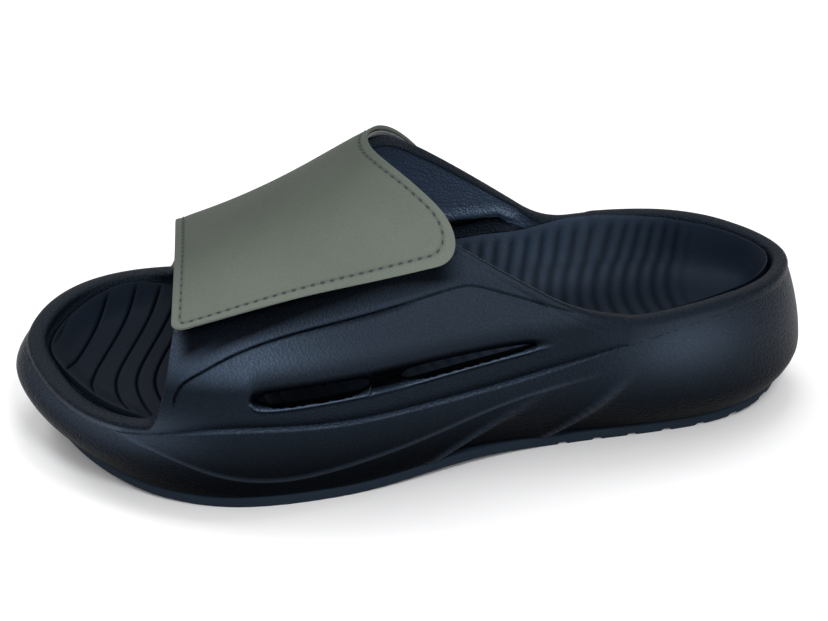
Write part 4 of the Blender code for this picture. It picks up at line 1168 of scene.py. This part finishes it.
def strap_point(b, t, lift, pull=(0.0, 0.0)):
    """Points of the strap's surface. b: 0 at its front edge and 1 at its rear edge; t: 0
    at the free end, one half on the crest, 1 at the sewn end. lift: height over the
    outer and inner wing; pull: how far the front and rear edges are drawn in."""
    front = x_of(spline(STRAP_SPOTS, STRAP_FRONT, t)) - pull[0]
    rear = x_of(spline(STRAP_SPOTS, STRAP_REAR, t)) + pull[1]
    x = front + (rear - front) * b
    f = form(make_rays(station_of(x), 0, 0))
    count = len(x)
    on_outer = t < 0.5
    pick = np.where(on_outer, np.arange(count), 2 * count - 1 - np.arange(count))
    arch = {name: f[name][pick] for name in ("arch_r", "arch_z", "base_z")}
    end = np.where(on_outer, spline(STRAP_SPOTS, FREE_END, b), spline(STRAP_SPOTS, SEWN_END, b))
    start = arch_turn(arch, end * INSTEP_HEIGHT)
    turn = start + (np.pi / 2 - start) * (1 - np.abs(2 * t - 1))
    down = smooth_step((t - STEP_DOWN[0]) / (STEP_DOWN[1] - STEP_DOWN[0]))
    radius, height = arch_point(arch, turn, -(lift[0] + (lift[1] - lift[0]) * down))
    y = spine_y(x) + np.where(on_outer, radius, -radius)
    return np.column_stack([x, y, height])


def strap_line():
    """Shares t along the strap's middle line, and their distances from its free end."""
    t = np.linspace(0, 1, 241)
    points = strap_point(np.full(t.shape, 0.5), t, (0.0, 0.0))
    steps = np.linalg.norm(np.diff(points, axis=0), axis=1)
    return t, np.concatenate([[0.0], np.cumsum(steps)])


def strap_width(t):
    """Distance from the strap's front edge to its rear edge at a share of its line."""
    return x_of(spline(STRAP_SPOTS, STRAP_FRONT, t)) - x_of(spline(STRAP_SPOTS, STRAP_REAR, t))


def corner_pull(distance, radius):
    """How far a round corner draws the edge in, at this distance from the end."""
    inside = np.clip(radius - distance, 0, radius)
    return radius - np.sqrt(radius**2 - inside**2)


def strap_plan(distances, across, border, end=None):
    """Flat plan of the strap: distance from the free end, distance from the front edge,
    and distance inside the outline, for rows by columns."""
    t, length = strap_line()
    u = np.asarray(distances)[:, None]
    here = np.interp(u, length, t)
    width = strap_width(here)
    girth = length[-1] if end is None else end
    sewn = corner_pull(girth - border - u, SEWN_CORNER) if end is None else 0.0
    front = border + corner_pull(u - border, max(FRONT_CORNER - border, FIT_GAP)) + sewn
    rear = border + corner_pull(u - border, REAR_CORNER - border) + sewn
    w = front + (width - front - rear) * across
    depth = np.minimum(np.minimum(u - border, girth - border - u), np.minimum(w, width - w) - border)
    for away, side, radius in (
        (u, w, FRONT_CORNER), (u, width - w, REAR_CORNER),
        (girth - u, w, SEWN_CORNER), (girth - u, width - w, SEWN_CORNER),
    ):
        in_corner = (away < radius) & (side < radius)
        rounded = radius - np.hypot(radius - away, radius - side) - border
        depth = np.where(in_corner, np.minimum(depth, rounded), depth)
    return u + 0 * w, w, np.maximum(depth, 0)


def strap_place(u, w, lift):
    """Points on the strap at a distance from its free end and from its front edge."""
    t, length = strap_line()
    here = np.interp(u, length, t).ravel()
    b = w.ravel() / strap_width(here)
    lift = [np.broadcast_to(value, u.shape).ravel() for value in lift]
    return strap_point(b, here, lift).reshape(*u.shape, 3)


def edge_rows(total, near_first, near_last, step):
    """Distances from 0 to the total: the given close rows at each end, and even ones
    between."""
    first, last = np.array(near_first), total - np.array(near_last)[::-1]
    count = max(2, int(round((last[0] - first[-1]) / step)))
    return np.concatenate([first, np.linspace(first[-1], last[0], count + 1)[1:-1], last])


def shell_mesh(name, outer, inner, **masks):
    """Closed sheet from its outer and inner grids, with a strip round the border."""
    skin = Patchwork(*masks)
    skin.grid(outer, **masks)
    edge = {mask: border_of(value) for mask, value in masks.items()}
    skin.grid(np.stack([border_of(outer), border_of(inner)]), closed=True, **edge)
    skin.grid(inner, **masks)
    return skin.mesh(name)


def border_of(grid):
    """The border of a grid, once round."""
    return np.concatenate([grid[0, :-1], grid[:-1, -1], grid[-1, :0:-1], grid[:0:-1, 0]])


def strap_mesh():
    """The leather strap: outer face lifted by its thickness, less a furrow for the
    stitches inside its outline, a soft hollow round it and rounded edges."""
    sizes = bpy.context.scene.sandal_sizes
    girth = strap_line()[1][-1]
    rows = edge_rows(girth, CLOSE_ROWS, CLOSE_ROWS, 0.0016)
    shares = edge_rows(1.0, np.array(CLOSE_ROWS) / 0.1, np.array(CLOSE_ROWS) / 0.1, 0.018)
    u, w, depth = strap_plan(rows, shares, 0.0)
    furrow = bell(depth - sizes.stitch_inset, 0.00050)
    hollow = bell(depth - sizes.stitch_inset, 0.0024)
    edge = corner_pull(depth, STRAP_EDGE)
    relief = -FURROW_DEPTH * furrow - HOLLOW_DEPTH * hollow - edge
    outer = strap_place(u, w, [lift + STRAP_THICKNESS + relief for lift in STRAP_LIFT])
    inner = strap_place(u, w, [lift + 0.4 * edge for lift in STRAP_LIFT])
    border = 1 - smooth_step((depth - sizes.stitch_inset + 0.0004) / 0.0008)
    # Painted shade in the stitches' furrow; the strap is also lighter at its free end and darker towards its
    # crest
    shade = 0.5 * furrow - 0.2 + 0.9 * smooth_step(u / (0.5 * girth))
    return shell_mesh("strap", outer, inner, crevice=shade, border=border, cloth_u=u, cloth_w=w)


def lining_mesh():
    """The lining under the strap, its fuzzy edge flush with the strap's."""
    girth = strap_line()[1][-1]
    near = np.array(CLOSE_ROWS[:8]) * 1.5
    rows = LINING_EDGE + edge_rows(girth - 2 * LINING_EDGE, near, near, 0.0024)
    shares = edge_rows(1.0, near / 0.1, near / 0.1, 0.03)
    u, w, depth = strap_plan(rows, shares, LINING_EDGE)
    curl = 0.00035 * (1 - smooth_step(depth / 0.0008))
    outer = strap_place(u, w, [lift + LINING_THICKNESS - 0.5 * curl for lift in LINING_LIFT])
    inner = strap_place(u, w, [lift + curl for lift in LINING_LIFT])
    return shell_mesh("strap_lining", outer, inner, cloth_u=u, cloth_w=w)


def tape_mesh(name, lift):
    """A tape under the strap's free end, TAPE_LENGTH long and TAPE_BORDER inside it."""
    near = np.array(CLOSE_ROWS[:8])
    rows = TAPE_BORDER + edge_rows(TAPE_LENGTH, near, near, 0.0012)
    shares = edge_rows(1.0, near / 0.1, near / 0.1, 0.018)
    u, w, depth = strap_plan(rows, shares, TAPE_BORDER, TAPE_BORDER * 2 + TAPE_LENGTH)
    curl = 0.0003 * (1 - smooth_step(depth / 0.0006))
    outer = strap_place(u, w, [lift + TAPE_THICKNESS - curl] * 2)
    inner = strap_place(u, w, [lift + 0 * curl] * 2)
    return shell_mesh(name, outer, inner, cloth_u=u, cloth_w=w)


def stitch_path(inset):
    """Dense path of the seam in the strap's plan, once round inside its outline: straight
    runs joined by quarter circles."""
    t, length = strap_line()
    girth = length[-1]

    def width(u):
        """The strap's width at a distance from its free end."""
        return strap_width(np.interp(u, length, t))

    def rear_corner(u, drawn_in):
        """Plan points beside the rear edge, drawn in by this much."""
        return u, width(u) - inset - drawn_in

    quarter = np.linspace(0, np.pi / 2, 24)
    front, rear, sewn = (max(r - inset, 0.0012) for r in (FRONT_CORNER, REAR_CORNER, SEWN_CORNER))
    run = np.linspace(inset + front, girth - inset - sewn, 500)
    back = np.linspace(girth - inset - sewn, inset + rear, 500)
    high = girth - inset
    parts = [
        (run, inset + 0 * run),
        (high - sewn * (1 - np.sin(quarter)), inset + sewn * (1 - np.cos(quarter))),
        (np.full(200, high), np.linspace(inset + sewn, width(high) - inset - sewn, 200)),
        rear_corner(high - sewn * (1 - np.cos(quarter)), sewn * (1 - np.sin(quarter))),
        rear_corner(back, 0.0),
        rear_corner(inset + rear * (1 - np.sin(quarter)), rear * (1 - np.cos(quarter))),
        (np.full(200, inset), np.linspace(width(inset) - inset - rear, inset + front, 200)),
        (inset + front * (1 - np.cos(quarter)), inset + front * (1 - np.sin(quarter))),
    ]
    return np.concatenate([np.stack(part, axis=1) for part in parts]).T


def stitches_mesh():
    """Joined stitches: each is a short tube along the seam that dips into the strap at
    both ends, its height a half sine, its section a flattened circle."""
    sizes = bpy.context.scene.sandal_sizes
    u, w = stitch_path(sizes.stitch_inset)
    low, high = (
        strap_place(u, w, [lift + STRAP_THICKNESS + more for lift in STRAP_LIFT]) for more in (0, 0.001)
    )
    step = np.linalg.norm(np.diff(low, axis=0), axis=1)
    run = np.concatenate([[0.0], np.cumsum(step)])
    count = int(run[-1] / sizes.stitch_pitch)
    centre = (np.arange(count) + 0.5) * run[-1] / count
    share = np.linspace(-1, 1, 9)
    at = centre[:, None] + share * sizes.stitch_length / 2
    base, out, ahead = (np.empty((*at.shape, 3)) for _ in range(3))
    for k in range(3):
        base[..., k] = np.interp(at, run, low[:, k])
        out[..., k] = np.interp(at, run, high[:, k]) - base[..., k]
        ahead[..., k] = np.interp(at + 2e-4, run, low[:, k]) - base[..., k]
    out /= np.linalg.norm(out, axis=-1, keepdims=True)
    ahead /= np.linalg.norm(ahead, axis=-1, keepdims=True)
    side = np.cross(out, ahead)
    radius = sizes.stitch_thread / 2 * np.sqrt(np.clip(1 - np.abs(share) ** 5, 0.03, 1))[None, :, None, None]
    rise = (-0.00050 + 0.00042 * np.cos(share * np.pi / 2) ** 0.7)[None, :, None]
    spin = np.linspace(0, 2 * np.pi, 8, endpoint=False)[None, None, :, None]
    ring = (base + out * rise)[:, :, None] + radius * (
        np.cos(spin) * side[:, :, None] + 0.8 * np.sin(spin) * out[:, :, None]
    )
    skin = Patchwork()
    for stitch in ring:
        skin.grid(stitch, closed=True)
        close_ends(skin, stitch)
    return skin.mesh("stitches", merge=1e-7)


def from_screen(*colour):
    """Linear colour from an sRGB one on the 0 to 255 scale."""
    value = np.array(colour) / 255
    return tuple(np.where(value <= 0.04045, value / 12.92, ((value + 0.055) / 1.055) ** 2.4))


def size_property(name, description, default):
    """A length in metres, for the sidebar."""
    return FloatProperty(
        name=name, description=description, default=default, min=0.0, precision=5,
        subtype="DISTANCE", unit="LENGTH",
    )


def colour_property(name, description, *colour):
    """A colour, given as sRGB on the 0 to 255 scale, for the sidebar."""
    return FloatVectorProperty(
        name=name, description=description, default=from_screen(*colour), size=3,
        min=0.0, max=1.0, subtype="COLOR",
    )


class SandalSizes(bpy.types.PropertyGroup):
    """Sizes of the finish"""

    panel_groove: size_property("Panel groove", "Depth of the line round the wing's panel", 0.0009)
    panel_step: size_property("Panel step", "How deep the wing's panel lies inside its border", 0.0005)
    crease_step: size_property("Crease step", "Height of the long crease on the sole's side", 0.0006)
    vent_depth: size_property("Vent depth", "Depth of the trough round the vents", 0.0023)
    vent_bead: size_property("Vent bead", "How proud the bead over each vent stands inside", 0.0011)
    footbed_groove: size_property("Footbed groove", "Depth of the footbed's curved grooves", 0.00075)
    footbed_lip: size_property("Footbed lip", "How far the footbed's edge turns up at the rim", 0.0030)
    sole_rib: size_property("Sole rib", "Height of the fine ribs on the outsole's edge", 0.00022)
    stitch_inset: size_property("Stitch inset", "Distance of the seam from the strap's outline", 0.0030)
    stitch_pitch: size_property("Stitch pitch", "Distance from stitch to stitch", 0.0034)
    stitch_length: size_property("Stitch length", "Visible length of a stitch", 0.0018)
    stitch_thread: size_property("Thread", "Thickness of the sewing thread", 0.00050)


class SandalColours(bpy.types.PropertyGroup):
    """Colours of the finish"""

    foam: colour_property("Foam", "Moulded body", 11, 16, 24)
    footbed: colour_property("Footbed", "Insole", 13, 20, 31)
    rubber: colour_property("Rubber", "Outsole", 24, 32, 42)
    leather: colour_property("Leather", "Strap", 87, 94, 86)
    leather_edge: colour_property("Leather edge", "Border of the strap outside the seam", 90, 97, 90)
    thread: colour_property("Thread", "Stitches", 22, 28, 44)
    lining: colour_property("Lining", "Knitted lining of the strap", 27, 35, 48)
    hook: colour_property("Hook tape", "Tape under the strap's free end", 15, 17, 21)
    loop: colour_property("Loop tape", "Tape on the outer wing", 20, 24, 31)
    floor: colour_property("Floor", "Studio floor", 246, 246, 247)


def add_node(tree, kind, settings=None, inputs=None):
    """New shader node with its settings, and its inputs set or linked by name."""
    made = tree.nodes.new("ShaderNode" + kind)
    for name, value in (settings or {}).items():
        setattr(made, name, value)
    for name, value in (inputs or {}).items():
        if isinstance(value, bpy.types.NodeSocket):
            tree.links.new(value, made.inputs[name])
        else:
            made.inputs[name].default_value = value
    return made


def new_group(name, inputs, outputs):
    """Empty shader node group with these sockets, and its input and output nodes."""
    group = bpy.data.node_groups.new(name, "ShaderNodeTree")
    for label, kind, default in inputs:
        socket = group.interface.new_socket(name=label, in_out="INPUT", socket_type=kind)
        if default is not None:
            socket.default_value = default
    for label, kind in outputs:
        group.interface.new_socket(name=label, in_out="OUTPUT", socket_type=kind)
    return group, group.nodes.new("NodeGroupInput").outputs, group.nodes.new("NodeGroupOutput").inputs


def maths(tree, operation, a, b=0.0):
    """Output of a new Math node with these two values, set or linked."""
    made = add_node(tree, "Math", {"operation": operation})
    for socket, value in zip(made.inputs, (a, b)):
        if isinstance(value, bpy.types.NodeSocket):
            tree.links.new(value, socket)
        else:
            socket.default_value = value
    return made.outputs[0]


def grain_group():
    """Pebbled skin: rounded cells over finer noise, with a mask of raised specks."""
    group, given, out = new_group(
        "Pebble Grain",
        (("Vector", "NodeSocketVector", None), ("Cells", "NodeSocketFloat", 1200.0),
         ("Fine", "NodeSocketFloat", 0.35)),
        (("Height", "NodeSocketFloat"), ("Specks", "NodeSocketFloat"), ("Clouds", "NodeSocketFloat")),
    )
    wobble = add_node(group, "TexNoise", None, {"Vector": given["Vector"], "Scale": 420.0, "Detail": 2.0})
    wander = {0: wobble.outputs["Color"], "Scale": 0.0012}
    shift = add_node(group, "VectorMath", {"operation": "SCALE"}, wander)
    place = add_node(group, "VectorMath", {"operation": "ADD"}, {0: given["Vector"], 1: shift.outputs[0]})
    cells = add_node(group, "TexVoronoi", {"feature": "SMOOTH_F1"},
                     {"Vector": place.outputs[0], "Scale": given["Cells"], "Smoothness": 0.55})
    fine_scale = maths(group, "MULTIPLY", given["Cells"], 2.6)
    fine = add_node(group, "TexNoise", None, {"Vector": place.outputs[0], "Scale": fine_scale, "Detail": 3.0})
    domes = maths(group, "SUBTRACT", 1.0, cells.outputs["Distance"])
    small = maths(group, "MULTIPLY", fine.outputs["Fac"], given["Fine"])
    group.links.new(maths(group, "ADD", domes, small), out["Height"])
    specks = add_node(group, "MapRange", None, {"Value": domes, "From Min": 0.62, "From Max": 0.95})
    group.links.new(specks.outputs["Result"], out["Specks"])
    clouds = add_node(group, "TexNoise", None, {"Vector": given["Vector"], "Scale": 38.0, "Detail": 4.0})
    group.links.new(clouds.outputs["Fac"], out["Clouds"])
    return group


def weave_group():
    """Knit or tape: two crossed waves that follow the cloth's own plan."""
    group, given, out = new_group(
        "Cloth Weave",
        (("Along", "NodeSocketFloat", None), ("Across", "NodeSocketFloat", None),
         ("Pitch", "NodeSocketFloat", 0.001)),
        (("Height", "NodeSocketFloat"), ("Threads", "NodeSocketFloat")),
    )
    waves = []
    for name in ("Along", "Across"):
        turns = maths(group, "DIVIDE", given[name], given["Pitch"])
        waves.append(maths(group, "SINE", maths(group, "MULTIPLY", turns, 2 * np.pi)))
    product = maths(group, "MULTIPLY", *waves)
    height = add_node(group, "MapRange", None, {"Value": product, "From Min": -1.0, "From Max": 1.0})
    group.links.new(height.outputs["Result"], out["Height"])
    group.links.new(maths(group, "POWER", height.outputs["Result"], 2.0), out["Threads"])
    return group


def tone_group():
    """Base colour: darker under painted shade, lighter under painted highlights and on specks, and clouded.
    """
    group, given, out = new_group(
        "Tone And Painted Light",
        (("Color", "NodeSocketColor", (0.5, 0.5, 0.5, 1)), ("Crevice", "NodeSocketFloat", 0.0),
         ("Specks", "NodeSocketFloat", 0.0), ("Clouds", "NodeSocketFloat", 0.5),
         ("Dark", "NodeSocketFloat", 0.7), ("Light", "NodeSocketFloat", 0.25),
         ("Cloudy", "NodeSocketFloat", 0.15)),
        (("Color", "NodeSocketColor"),),
    )
    centred = maths(group, "SUBTRACT", given["Clouds"], 0.5)
    value = maths(group, "ADD", 1.0, maths(group, "MULTIPLY", centred, given["Cloudy"]))
    value = maths(group, "ADD", value, maths(group, "MULTIPLY", given["Specks"], given["Light"]))
    # The painted light mask: painted shade darkens the colour and painted highlights lighten it
    shade = maths(group, "SUBTRACT", 1.0, maths(group, "MULTIPLY", given["Crevice"], given["Dark"]))
    value = maths(group, "MULTIPLY", value, shade)
    toned = add_node(group, "VectorMath", {"operation": "SCALE"}, {0: given["Color"], "Scale": value})
    group.links.new(toned.outputs[0], out["Color"])
    return group


def shared_group(name, make):
    """The node group of this name, made on first use."""
    return bpy.data.node_groups.get(name) or make()


def place_group(tree, name, make, **inputs):
    """Outputs of the shared group placed in this tree, its inputs set or linked."""
    made = tree.nodes.new("ShaderNodeGroup")
    made.node_tree = shared_group(name, make)
    for label, value in inputs.items():
        if isinstance(value, bpy.types.NodeSocket):
            tree.links.new(value, made.inputs[label])
        else:
            made.inputs[label].default_value = value
    return made.outputs


def new_material(name, **sockets):
    """Material with its Principled shader's constant sockets set by name."""
    material = bpy.data.materials.new(name)
    material.use_nodes = True
    shader = material.node_tree.nodes["Principled BSDF"]
    for label, value in sockets.items():
        shader.inputs[label.replace("_", " ")].default_value = value
    return material, material.node_tree, shader.inputs


def read_mask(tree, name):
    """Output that reads one of the mesh's float attributes."""
    return add_node(tree, "Attribute", {"attribute_name": name}).outputs["Fac"]


def grained_material(name, colour, cells, bump, rough, tone, level, border=None, **sockets):
    """Grained surface: colour through the tone group, roughness lower on the grain's
    tops, and the grain as a bump. rough: low and high roughness; tone: Dark, Light and
    Cloudy; level: specular level, less under painted shade and more under painted
    highlights; border: colour of the strap's border, or None."""
    material, tree, shader = new_material(name, **sockets)
    where = add_node(tree, "TexCoord").outputs["Object"]
    grain = place_group(tree, "Pebble Grain", grain_group, Vector=where, Cells=cells)
    base = (*colour, 1.0)
    if border is not None:
        mixed = add_node(tree, "Mix", {"data_type": "RGBA"}, {"Factor": read_mask(tree, "border")})
        mixed.inputs[6].default_value = base
        mixed.inputs[7].default_value = (*border, 1.0)
        base = mixed.outputs[2]
    toned = place_group(
        tree, "Tone And Painted Light", tone_group, Color=base, Crevice=read_mask(tree, "crevice"),
        Specks=grain["Specks"], Clouds=grain["Clouds"], Dark=tone[0], Light=tone[1], Cloudy=tone[2],
    )
    tree.links.new(toned["Color"], shader["Base Color"])
    # The gloss follows the painted light mask: less under painted shade, more under painted highlights
    hidden = maths(tree, "MULTIPLY", read_mask(tree, "crevice"), 0.92)
    gloss = maths(tree, "MULTIPLY", maths(tree, "SUBTRACT", 1.0, hidden), level)
    tree.links.new(gloss, shader["Specular IOR Level"])
    polish = add_node(tree, "MapRange", None,
                      {"Value": grain["Specks"], "To Min": rough[1], "To Max": rough[0]})
    tree.links.new(polish.outputs["Result"], shader["Roughness"])
    relief = add_node(tree, "Bump", None,
                      {"Height": grain["Height"], "Strength": 1.0, "Distance": bump})
    tree.links.new(relief.outputs["Normal"], shader["Normal"])
    return material


def cloth_material(name, colour, pitch, bump, **sockets):
    """Woven or looped cloth whose threads follow the cloth's own plan."""
    material, tree, shader = new_material(name, **sockets)
    weave = place_group(
        tree, "Cloth Weave", weave_group, Along=read_mask(tree, "cloth_u"),
        Across=read_mask(tree, "cloth_w"), Pitch=pitch,
    )
    toned = place_group(
        tree, "Tone And Painted Light", tone_group, Color=(*colour, 1.0), Specks=weave["Threads"], Light=0.8,
    )
    tree.links.new(toned["Color"], shader["Base Color"])
    relief = add_node(tree, "Bump", None,
                      {"Height": weave["Height"], "Strength": 1.0, "Distance": bump})
    tree.links.new(relief.outputs["Normal"], shader["Normal"])
    return material


def foam_material(colours):
    """Half gloss with a coarse pebbled grain."""
    return grained_material("moulded_foam", colours.foam, 1150.0, 0.00028, (0.24, 0.46),
                            (0.92, 0.70, 0.3), 0.11, Specular_Tint=GLOSS_TINT)


def footbed_material(colours):
    """The same foam, nearly smooth."""
    return grained_material("footbed_foam", colours.footbed, 1500.0, 0.00005, (0.36, 0.52),
                            (0.85, 0.20, 0.2), 0.10, Specular_Tint=GLOSS_TINT)


def rubber_material(colours):
    """Matte rubber with a fine grain."""
    return grained_material("outsole_rubber", colours.rubber, 1700.0, 0.00007, (0.50, 0.72),
                            (0.6, 0.2, 0.3), 0.10, Specular_Tint=GLOSS_TINT)


def leather_material(colours):
    """Matte leather with a fine grain, a little lighter outside the seam."""
    return grained_material("strap_leather", colours.leather, 1900.0, 0.00010, (0.52, 0.70),
                            (0.45, 0.24, 0.24), 0.16, border=colours.leather_edge)


def thread_material(colours):
    """Twisted thread: slanting waves as its ply."""
    material, tree, shader = new_material("thread", Roughness=0.75, Sheen_Weight=0.2)
    where = add_node(tree, "TexCoord").outputs["Object"]
    ply = add_node(tree, "TexWave", {"bands_direction": "DIAGONAL"},
                   {"Vector": where, "Scale": 900.0, "Distortion": 1.0})
    toned = place_group(tree, "Tone And Painted Light", tone_group, Color=(*colours.thread, 1.0),
                        Specks=ply.outputs["Fac"], Light=0.4)
    tree.links.new(toned["Color"], shader["Base Color"])
    relief = add_node(tree, "Bump", None,
                      {"Height": ply.outputs["Fac"], "Strength": 1.0, "Distance": 0.00005})
    tree.links.new(relief.outputs["Normal"], shader["Normal"])
    return material


def add_piece(name, mesh, material, node=None):
    """Puts a finished piece in the scene: it rides with the shoe, and stands for a node if one is named."""
    piece = bpy.data.objects.new(name, mesh)
    bpy.context.scene.collection.objects.link(piece)
    mesh.materials.append(material)
    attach(piece, "root")
    if node:
        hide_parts(node)
    return piece


class SANDAL_OT_foam_body(bpy.types.Operator):
    """Model the moulded body with its wings, vents, creases and grain"""

    bl_idname = "sandal.foam_body"
    bl_label = "Foam Body"

    def execute(self, context):
        material = foam_material(context.scene.sandal_colours)
        add_piece("moulded_body", foam_mesh(), material, "foam_body")
        return {"FINISHED"}


class SANDAL_OT_footbed(bpy.types.Operator):
    """Model the insole with its curved grooves"""

    bl_idname = "sandal.footbed"
    bl_label = "Footbed"

    def execute(self, context):
        material = footbed_material(context.scene.sandal_colours)
        add_piece("footbed", insole_mesh(), material, "insole")
        return {"FINISHED"}


class SANDAL_OT_outsole(bpy.types.Operator):
    """Model the rubber outsole with its lugs and ribbed edge"""

    bl_idname = "sandal.outsole"
    bl_label = "Outsole"

    def execute(self, context):
        material = rubber_material(context.scene.sandal_colours)
        add_piece("rubber_outsole", outsole_mesh(), material, "outsole")
        return {"FINISHED"}


class SANDAL_OT_strap(bpy.types.Operator):
    """Model the leather strap and its lining"""

    bl_idname = "sandal.strap"
    bl_label = "Strap and Lining"

    def execute(self, context):
        colours = context.scene.sandal_colours
        add_piece("leather_strap", strap_mesh(), leather_material(colours), "strap")
        knit = cloth_material("knit_lining", colours.lining, 0.0009, 0.0002,
                              Roughness=0.92, Sheen_Weight=0.4)
        add_piece("knit_lining", lining_mesh(), knit, "strap_lining")
        return {"FINISHED"}


class SANDAL_OT_stitches(bpy.types.Operator):
    """Sew the seam round the strap"""

    bl_idname = "sandal.stitches"
    bl_label = "Stitches"

    def execute(self, context):
        material = thread_material(context.scene.sandal_colours)
        add_piece("strap_stitches", stitches_mesh(), material)
        return {"FINISHED"}


class SANDAL_OT_tapes(bpy.types.Operator):
    """Model the hook and loop tapes under the strap's free end"""

    bl_idname = "sandal.tapes"
    bl_label = "Hook and Loop Tapes"

    def execute(self, context):
        colours = context.scene.sandal_colours
        hook = cloth_material("hook_nylon", colours.hook, 0.0007, 0.0003, Roughness=0.6)
        loop = cloth_material("loop_nylon", colours.loop, 0.0013, 0.0004, Roughness=0.95,
                              Sheen_Weight=0.5)
        patch = tape_mesh("loop_patch", FIT_GAP)
        tape = tape_mesh("hook_tape", 2 * FIT_GAP + TAPE_THICKNESS)
        add_piece("loop_tape", patch, loop, "loop_patch")
        add_piece("hook_strip", tape, hook, "hook_tape")
        return {"FINISHED"}


# The camera: degrees, metres, and the focal length in pixels of an 828 by 621 picture
CAMERA_AZIMUTH = 174.8
CAMERA_ELEVATION = 30.6
CAMERA_ROLL = -2.1
CAMERA_DISTANCE = 0.800
CAMERA_TARGET = (-0.0022, -0.0036, 0.0385)
FOCAL_PIXELS = 2167
PICTURE_WIDTH = 828
SENSOR_WIDTH = 36.0

# Softboxes: name, place, size and power, in metres and watts; each faces the origin
SOFTBOXES = (
    ("key", (-0.25, 0.85, 1.15), (0.38, 0.30), 6.5),
    ("top", (-0.10, -0.40, 1.35), (0.60, 0.50), 5.0),
    ("toe", (0.58, -0.55, 1.03), (0.40, 0.40), 3.5),
    ("low", (-0.55, 1.20, 0.24), (0.70, 0.16), 4.5),
)
WORLD_STRENGTH = 0.74


def camera_axes():
    """Right, up and back directions of the camera from its azimuth, elevation, roll."""
    azimuth, elevation, roll = np.radians((CAMERA_AZIMUTH, CAMERA_ELEVATION, CAMERA_ROLL))
    back = Vector((
        np.sin(azimuth) * np.cos(elevation), -np.cos(azimuth) * np.cos(elevation), np.sin(elevation),
    ))
    right = Vector((np.cos(azimuth), np.sin(azimuth), 0.0))
    up = back.cross(right)
    return right * np.cos(roll) + up * np.sin(roll), up * np.cos(roll) - right * np.sin(roll), back


class SANDAL_OT_stage(bpy.types.Operator):
    """Set up the floor, the softboxes, the world and the camera"""

    bl_idname = "sandal.stage"
    bl_label = "Studio"

    def execute(self, context):
        scene = context.scene
        floor_mesh = bpy.data.meshes.new("floor")
        turn = np.linspace(0, 2 * np.pi, 96, endpoint=False)
        rim = np.stack([6 * np.cos(turn), 6 * np.sin(turn), 0 * turn], axis=1)
        floor_mesh.from_pydata(rim.tolist(), [], [list(range(len(turn)))])
        material, tree, shader = new_material("studio_floor", Roughness=0.9, Specular_IOR_Level=0.1)
        where = add_node(tree, "TexCoord").outputs["Object"]
        clouds = add_node(tree, "TexNoise", None, {"Vector": where, "Scale": 3.0})
        toned = place_group(
            tree, "Tone And Painted Light", tone_group, Color=(*scene.sandal_colours.floor, 1.0),
            Clouds=clouds.outputs["Fac"], Cloudy=0.01,
        )
        tree.links.new(toned["Color"], shader["Base Color"])
        floor_mesh.materials.append(material)
        floor = bpy.data.objects.new("floor", floor_mesh)
        scene.collection.objects.link(floor)

        for name, place, size, power in SOFTBOXES:
            lamp = bpy.data.lights.new(name, "AREA")
            lamp.shape = "RECTANGLE"
            lamp.size, lamp.size_y = size
            lamp.energy = power
            box = bpy.data.objects.new(name, lamp)
            box.location = place
            box.rotation_mode = "QUATERNION"
            box.rotation_quaternion = Vector(place).to_track_quat("Z", "Y")
            scene.collection.objects.link(box)

        world = bpy.data.worlds.new("studio")
        world.use_nodes = True
        world.node_tree.nodes["Background"].inputs["Color"].default_value = (1, 1, 1, 1)
        world.node_tree.nodes["Background"].inputs["Strength"].default_value = WORLD_STRENGTH
        scene.world = world
        scene.view_settings.view_transform = "Standard"

        lens = bpy.data.cameras.new("camera")
        lens.sensor_width = SENSOR_WIDTH
        lens.lens = FOCAL_PIXELS * SENSOR_WIDTH / PICTURE_WIDTH
        camera = bpy.data.objects.new("camera", lens)
        right, up, back = camera_axes()
        place = Matrix.Translation(Vector(CAMERA_TARGET) + back * CAMERA_DISTANCE)
        camera.matrix_world = place @ Matrix((right, up, back)).transposed().to_4x4()
        scene.collection.objects.link(camera)
        scene.camera = camera
        return {"FINISHED"}


class SANDAL_PT_panel(bpy.types.Panel):
    """Sandal pieces in the sidebar"""

    bl_label = "Slide Sandal"
    bl_idname = "SANDAL_PT_panel"
    bl_space_type = "VIEW_3D"
    bl_region_type = "UI"
    bl_category = "Sandal"

    def draw(self, context):
        for operator in OPERATORS:
            self.layout.operator(operator.bl_idname)
        for group in (context.scene.sandal_sizes, context.scene.sandal_colours):
            column = self.layout.column()
            for name in group.__annotations__:
                column.prop(group, name)


OPERATORS = (
    SANDAL_OT_foam_body, SANDAL_OT_footbed, SANDAL_OT_outsole, SANDAL_OT_strap,
    SANDAL_OT_stitches, SANDAL_OT_tapes, SANDAL_OT_stage,
)
CLASSES = (SandalSizes, SandalColours, *OPERATORS, SANDAL_PT_panel)


def register():
    """Registers the classes, and gives the scene its sizes and colours."""
    for cls in CLASSES:
        bpy.utils.register_class(cls)
    bpy.types.Scene.sandal_sizes = PointerProperty(type=SandalSizes)
    bpy.types.Scene.sandal_colours = PointerProperty(type=SandalColours)


def unregister():
    """Takes back what register does."""
    del bpy.types.Scene.sandal_colours
    del bpy.types.Scene.sandal_sizes
    for cls in reversed(CLASSES):
        bpy.utils.unregister_class(cls)


def main():
    register()
    bpy.ops.sandal.foam_body()
    bpy.ops.sandal.footbed()
    bpy.ops.sandal.outsole()
    bpy.ops.sandal.strap()
    bpy.ops.sandal.stitches()
    bpy.ops.sandal.tapes()
    bpy.ops.sandal.stage()


if __name__ == "__main__":
    main()
